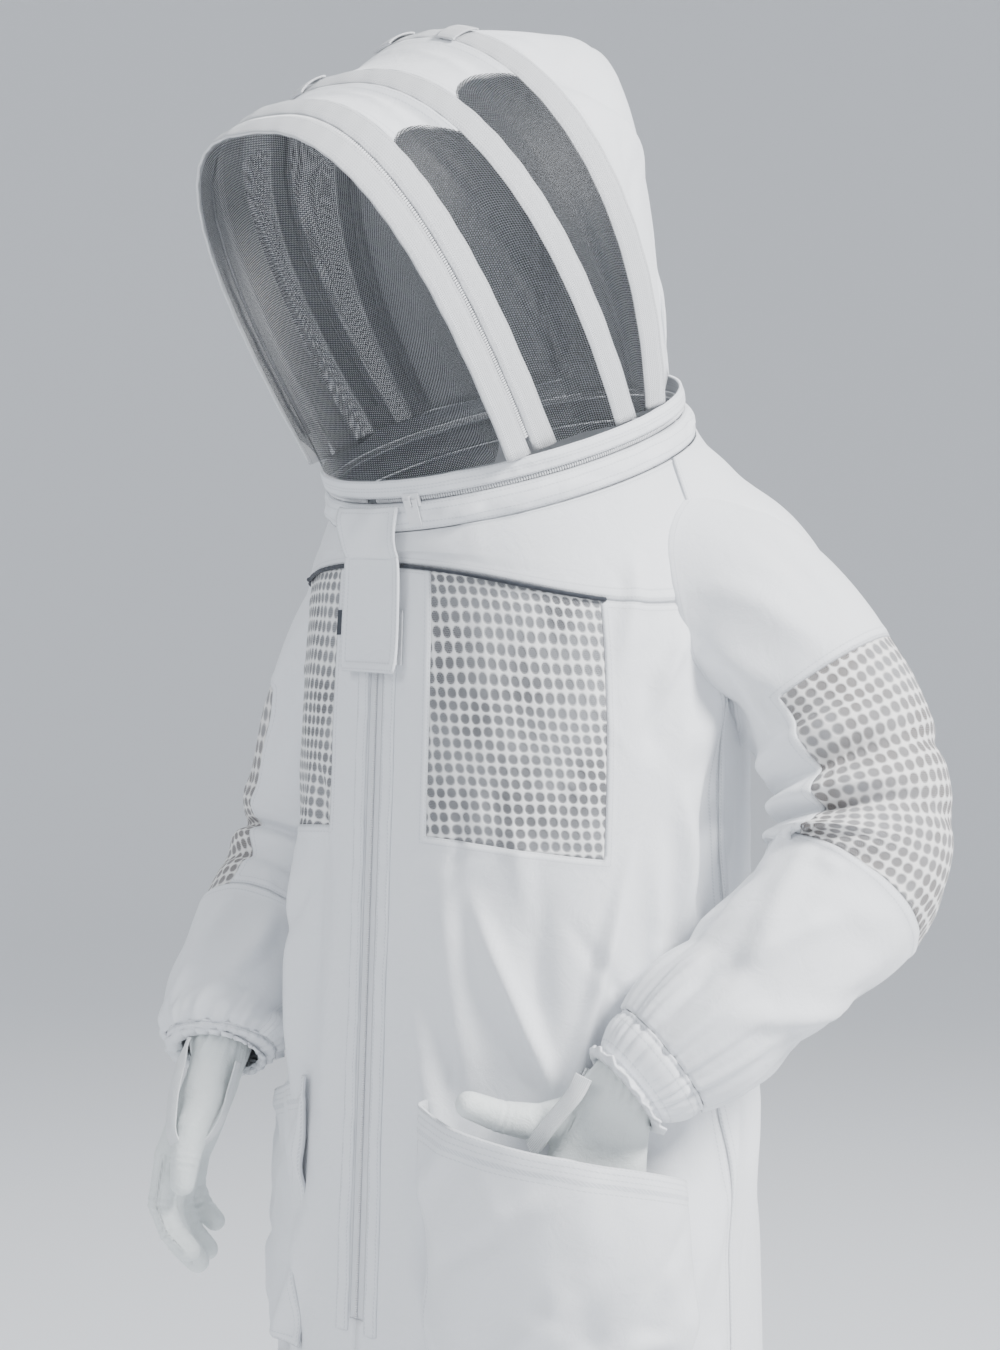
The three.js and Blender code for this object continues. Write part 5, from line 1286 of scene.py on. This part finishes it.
for hand in ("right", "left"):
    wrist, tangent, d, n, t = hand_frame(hand)
    _, _, curl, thumb = hand_facts[hand]
    on_hand = lambda down, side, out: wrist + d * down + t * side + n * out
    k = np.arange(160) + 0.5
    lat, lon = np.arccos(1 - 2 * k / 160), math.pi * (1 + 5**0.5) * k
    spots = np.stack([np.sin(lat) * np.cos(lon), np.sin(lat) * np.sin(lon), np.cos(lat)], -1)
    wrist_balls = [(on_hand(-2, 12, 0), 19), (on_hand(-2, -12, 0), 19)]
    heel = [(on_hand(20, 20, 4), 19), (on_hand(23, -17, 3), 16.5)]
    groups = [wrist_balls + heel]
    joints, seams = [], []
    for (knuckle_down, knuckle_side), lengths, radius in fingers:
        p = on_hand(knuckle_down, knuckle_side, 0)
        groups.append(heel + [(p, 14)])
        track = [p + (t * (radius + 0.5) if knuckle_side > 0 else -t * (radius + 0.5))]
        for step, length in enumerate(lengths):
            bend = math.radians((12, 45, 68)[step] * curl)
            q = p + d * length * math.cos(bend) + n * length * math.sin(bend)
            groups.append([(p, radius + 1 - step * 0.6), (q, radius + 0.4 - step * 0.9)])
            joints.append((q if step < 2 else p, unit(q - p)))
            track.append(q + (track[0] - on_hand(knuckle_down, knuckle_side, 0)) * (1 - 0.06 * step))
            p = q
        seams.append(track)
    balls = [(on_hand(*spot[:3]), spot[3]) for spot in thumb]
    groups += [[a, b] for a, b in zip(balls, balls[1:])]
    joints.append((balls[1][0], unit(balls[2][0] - balls[0][0])))
    joints.append((balls[2][0], unit(balls[3][0] - balls[1][0])))
    far = arc_point(hand, 26)
    groups.append(wrist_balls + [(far + t * 9, 27), (far - t * 9, 27)])
    groups.append([(far + t * 9, 27), (far - t * 9, 27), (far - tangent * 14 + t * 9, 27),
        (far - tangent * 14 - t * 9, 27)])
    seams.append([on_hand(-4, 24, -17), on_hand(30, 30, -12), on_hand(60, 36, -4), balls[1][0] - n * 8 + d * 10,
        balls[3][0] + d * 8])
    form = bmesh.new()
    for balls_of in groups:
        verts = [form.verts.new(p) for p in hull_of(balls_of, spots) * mm]
        made = bmesh.ops.convex_hull(form, input=verts)
        bmesh.ops.delete(form, geom=[g for g in made["geom_interior"] if isinstance(g, bmesh.types.BMVert)],
            context="VERTS")
    bmesh.ops.recalc_face_normals(form, faces=form.faces)
    mesh = bpy.data.meshes.new(f"glove_form_{hand}")
    form.to_mesh(mesh)
    form.free()
    rough = bpy.data.objects.new(f"glove_form_{hand}", mesh)
    bpy.context.collection.objects.link(rough)
    weld = rough.modifiers.new("weld", "REMESH")
    weld.mode, weld.voxel_size = "VOXEL", 0.0019
    soften = rough.modifiers.new("soften", "SMOOTH")
    soften.factor, soften.iterations = 0.55, 9
    bpy.context.view_layer.update()
    mesh = bpy.data.meshes.new_from_object(rough.evaluated_get(bpy.context.evaluated_depsgraph_get()))
    bpy.data.objects.remove(rough)
    mesh.name = f"glove_leather_{hand}"
    co = np.zeros(len(mesh.vertices) * 3)
    mesh.vertices.foreach_get("co", co)
    co = co.reshape(-1, 3) / mm
    normals = np.zeros(len(mesh.vertices) * 3, np.float32)
    mesh.vertices.foreach_get("normal", normals)
    normals = normals.reshape(-1, 3)
    lift = 0.5 * np.sin(co @ n / 2.3 + 1.5 * np.sin(co @ d / 9)) * np.exp(-(((co - wrist) @ d - 60) / 40) ** 2) * 0.5
    for spot, way in joints:
        along = (co - spot) @ way
        lift = lift - 0.9 * np.cos(along * 2 * math.pi
            / 6.5) * np.exp(-(np.linalg.norm(co - spot, axis=-1) / 13.5) ** 4)
    cuffside = np.clip(1 - np.abs((co - far) @ tangent - 24) / 22, 0, 1)
    turn = np.arctan2((co - wrist) @ n, (co - wrist) @ t)
    lift = lift + 0.9 * np.sin(turn * 15 + 1.2 * np.sin(turn * 3)) * cuffside
    co = co + normals * lift[:, None]
    seam = np.full(len(co), 99.0)
    for track in seams:
        for a, b in zip(track, track[1:]):
            share = np.clip(((co - a) @ (b - a)) / ((b - a) @ (b - a)), 0, 1)
            seam = np.minimum(seam, np.linalg.norm(co - a - share[:, None] * (b - a), axis=-1))
    mesh.vertices.foreach_set("co", (co * mm).ravel())
    mesh.attributes.new("seam", "FLOAT", "POINT").data.foreach_set("value", (seam * mm).astype(np.float32))
    cutter = bmesh.new()
    cutter.from_mesh(mesh)
    bmesh.ops.bisect_plane(cutter, geom=cutter.verts[:] + cutter.edges[:] + cutter.faces[:],
                           plane_co=far * mm, plane_no=tangent, clear_inner=True)
    cutter.to_mesh(mesh)
    cutter.free()
    mesh.polygons.foreach_set("use_smooth", np.ones(len(mesh.polygons), bool))
    glove = bpy.data.objects.new(f"glove_leather_{hand}", mesh)
    bpy.context.collection.objects.link(glove)
    wall = glove.modifiers.new("wall", "SOLIDIFY")
    wall.thickness, wall.offset = 1.6 * mm, -1
    dress(glove, goatskin, "leather", "glove_right" if hand == "right" else "suit", f"glove_{hand}")

# ------------------------------------------------------------------ the thumb loops
# A band of soft elastic, sewn into each cuff at both ends, passes round the root of the thumb and keeps the
# sleeve down over the glove.

def elastic_finish():
    """White elastic: close ribs along the band."""
    material, wire, shader = begin("white elastic", 0.78, 0.25)
    flat = wire.node("UVMap", uv_map="cloth")
    u, v = (flat.node("SeparateXYZ", {0: flat}, out=k) for k in (0, 1))
    ribs = wire.node("Math", {0: u * (2 * math.pi / 0.0016)}, operation="SINE")
    tone = wire.node("TexNoise", {"Vector": wire.node("TexCoord", out=3), "Scale": 70.0, "Detail": 3.0})
    colour = wire.node("Mix", {0: tone, 6: (0.84, 0.86, 0.87, 1), 7: (0.76, 0.785, 0.80, 1)}, out=2, data_type="RGBA")
    finish_with(wire, shader, colour, [(ribs, 0.0003, 0.7), (tone, 0.001, 0.4)])
    return material


white_elastic = elastic_finish()
loop_tracks = {
    "left": [(-16, 30, -25), (0, 34, -26), (22, 44, -22), (42, 52, -17), (54, 56, -4), (55, 55, 10),
        (44, 46, 24), (24, 34, 29), (2, 24, 27), (-14, 20, 24)],
    "right": [(-16, 26, -24), (2, 30, -22), (26, 42, -14), (44, 50, -6), (62, 56, 4), (70, 52, 16),
        (60, 38, 30), (38, 26, 33), (12, 18, 28), (-12, 14, 24)],
}
for hand, track in loop_tracks.items():
    wrist, tangent, d, n, t = hand_frame(hand)
    spots = np.array([wrist + d * a + t * b + n * c for a, b, c in track])
    stations = np.column_stack([np.arange(len(spots)), spots])
    path = through(stations, np.linspace(0, len(spots) - 1, 90))[..., 1:]
    along = unit(np.gradient(path, axis=0))
    middle = wrist + d * 26 + t * 22 + n * 2
    outward = unit(path - middle)
    outward = unit(outward - along * np.sum(outward * along, -1, keepdims=True))
    across = np.cross(along, outward)
    S, K = np.meshgrid(np.linspace(-8, 8, 13), np.arange(90))
    points = path[K] + across[K] * S[..., None] + outward[K] * (0.8 - 0.02 * S**2)[..., None]
    arc = np.concatenate([[0], np.cumsum(np.linalg.norm(np.diff(path, axis=0), axis=-1))])
    band = lay(f"thumb_loop_{hand}", points, np.stack([S, arc[K]], -1), 8 - np.abs(S), None, 1.4)
    dress(band, white_elastic, "elastic", "suit" if hand == "left" else None)
    if hand == "right":
        tuple((wrist - tangent * 4) * mm)
        tuple((wrist + tangent * 40) * mm)
        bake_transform(band)

# ------------------------------------------------------------------ the pockets
# Patch pockets sewn on three sides, with a deep hem along the slanting mouth. The left one is full of the hand.

pocket_from, pocket_to = 19.0, 84.0
pocket_foot, mouth_front, mouth_side = level_of(-752), level_of(-516), level_of(-584)


def pocket(room, seed):
    """The pocket's cloth: it stands off by room in its middle and towards its mouth, with folds down from
    the mouth."""
    across, s = np.meshgrid(np.linspace(0, 1, 76), np.linspace(0, 1, 64))
    A = pocket_from + (pocket_to - pocket_from) * across
    L = pocket_foot + (mouth_front + (mouth_side - mouth_front) * across - pocket_foot) * s
    swell = np.clip(np.sin(math.pi * across), 0, 1) ** 0.5 * np.sin(math.pi / 2 * s) ** 0.8
    u, v = across * 234, s * 215
    folds = crumple(u, v, seed, 26, ((0, 234), (0, 215)), (60, 170), (8, 16), 1.9, 0.2, 0.7)
    folds = folds + crumple(u, v, seed + 1, 30, ((0, 234), (0, 215)), (20, 60), (4, 8), 0.6, 0.5, 1.2)
    edge = np.minimum(np.minimum(across, 1 - across) * 234, s * 215)
    hem = 0.9 * ease(v, 215 - 21, 215 - 19)
    lift = 3.2 + room * swell + folds * ease(edge, 0, 26) + welt(edge) + hem
    hem_line = np.minimum(np.abs(v - 196), np.abs(215 - v))
    return A, suit_cloth(A, L, lift), np.stack([u, v], -1), np.minimum(edge, hem_line + 0.5)


for side, sign, room in (("left", 1, 78.0), ("right", -1, 7.0)):
    A, points, flat, seam = pocket(room, 91 if sign > 0 else 95)
    if sign < 0:
        points, flat, seam = (points * mirror)[:, ::-1], flat[:, ::-1], seam[:, ::-1]
        points = np.where(np.isfinite(points), points, 0)
    patch_pocket = lay(f"pocket_cloth_{side}", points, flat, seam, None, cotton)
    dress(patch_pocket, white_cotton, "cotton", "suit", f"pocket_{side}")

# ------------------------------------------------------------------ the legs and the ankle cuffs
# Wide straight legs that crease behind the knee and rest on elastic ankle cuffs.

def leg(angle, v):
    """From a round ankle up to the body's own half ring, with a flat inner wall: a mix of the two by height."""
    a = np.mod(angle, 360.0)
    r = np.radians(a)
    ankle = np.stack([122 + 62 * np.sin(r), 24 - 62 * np.cos(r), 0 * r], -1)
    top = body(np.minimum(a, 360 - a), 0 * a)
    front_y, back_y = body(np.array(0.0), np.array(0.0))[1], body(np.array(180.0), np.array(0.0))[1]
    inner = a > 180
    top = np.where(inner[..., None],
        np.stack([2.5 + 0 * a, front_y + (back_y - front_y) * (360 - a) / 180, 0 * a], -1), top)
    top[..., 0] = np.maximum(2.5, top[..., 0])
    t = (np.maximum(0, v) ** 0.85)[..., None]
    p = ankle * (1 - t) + top * t
    p[..., 2] = -1400 + (619.3) * v
    return p


A, S = np.meshgrid(np.linspace(0, 360, 181), np.linspace(0, 1, 124))
for side, sign, seed in (("left", 1, 101), ("right", -1, 111)):
    s, z, turn = A * 2.6, S * 620, 936
    folds = crumple(s, z, seed, 60, ((0, 936), (0, 620)), (70, 220), (9, 20), 2.6, 0.1, 0.6, turn)
    folds = folds + crumple(s, z, seed + 1, 100, ((0, 936), (0, 620)), (20, 70), (4, 9), 0.7, 0.5, 1.2, turn)
    stacked = 4.5 * np.sin(S * 62 + 1.6 * np.sin(np.radians(A) + seed)) * (1 - ease(S, 0.05, 0.26)) * ease(S, 0, 0.03)
    knee = 4.0 * np.sin(S * 40 + 2.0) * np.exp(-(((S - 0.42) / 0.09) ** 2)) * (0.5 - 0.5 * np.cos(np.radians(A)))
    gathers = 1.8 * np.sin(np.radians(A) * 26) * (1 - ease(S, 0, 0.05))
    inner_wall = 1 - 0.9 * ease(A, 182, 200) * (1 - ease(A, 340, 358)) * ease(S, 0.5, 0.95)
    lift = ((folds + stacked + knee) * inner_wall * ease(1 - S, 0, 0.07) + gathers)
    side_line = np.minimum(np.abs(A - 100) * 2.6, np.minimum(A, 360 - A) * 99)
    points = off(leg, A, S, lift + welt(np.abs(A - 100) * 2.6))
    flat = np.stack([s, z], -1)
    if sign < 0:
        points, flat, side_line = (points * mirror)[:, ::-1], flat[:, ::-1], side_line[:, ::-1]
    trouser = lay(f"leg_cloth_{side}", points, flat, np.abs(side_line), None, cotton, True)
    dress(trouser, white_cotton, "cotton", "suit", f"leg_{side}")

A, S = np.meshgrid(np.linspace(0, 360, 361), np.linspace(0, 1, 22))
a = np.radians(A)
ribs = 1.5 * np.abs(np.sin(24 * a + 0.8 * np.sin(3 * a))) ** 0.7 - 1.3 * np.abs(np.sin(S * math.pi * 3)) ** 6
radius = 59 + ribs
for side, sign in (("left", 1), ("right", -1)):
    points = np.stack([122 + radius * np.sin(a), 24 - radius * np.cos(a), -1440 + 39.3 * S], -1)
    flat = np.stack([A, S * 40], -1)
    if sign < 0:
        points, flat = (points * mirror)[:, ::-1], flat[:, ::-1]
    ankle = lay(f"ankle_cuff_cloth_{side}", points, flat, None, None, 3.2, True)
    dress(ankle, white_elastic, "elastic", "suit", f"ankle_cuff_{side}")

low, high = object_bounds()
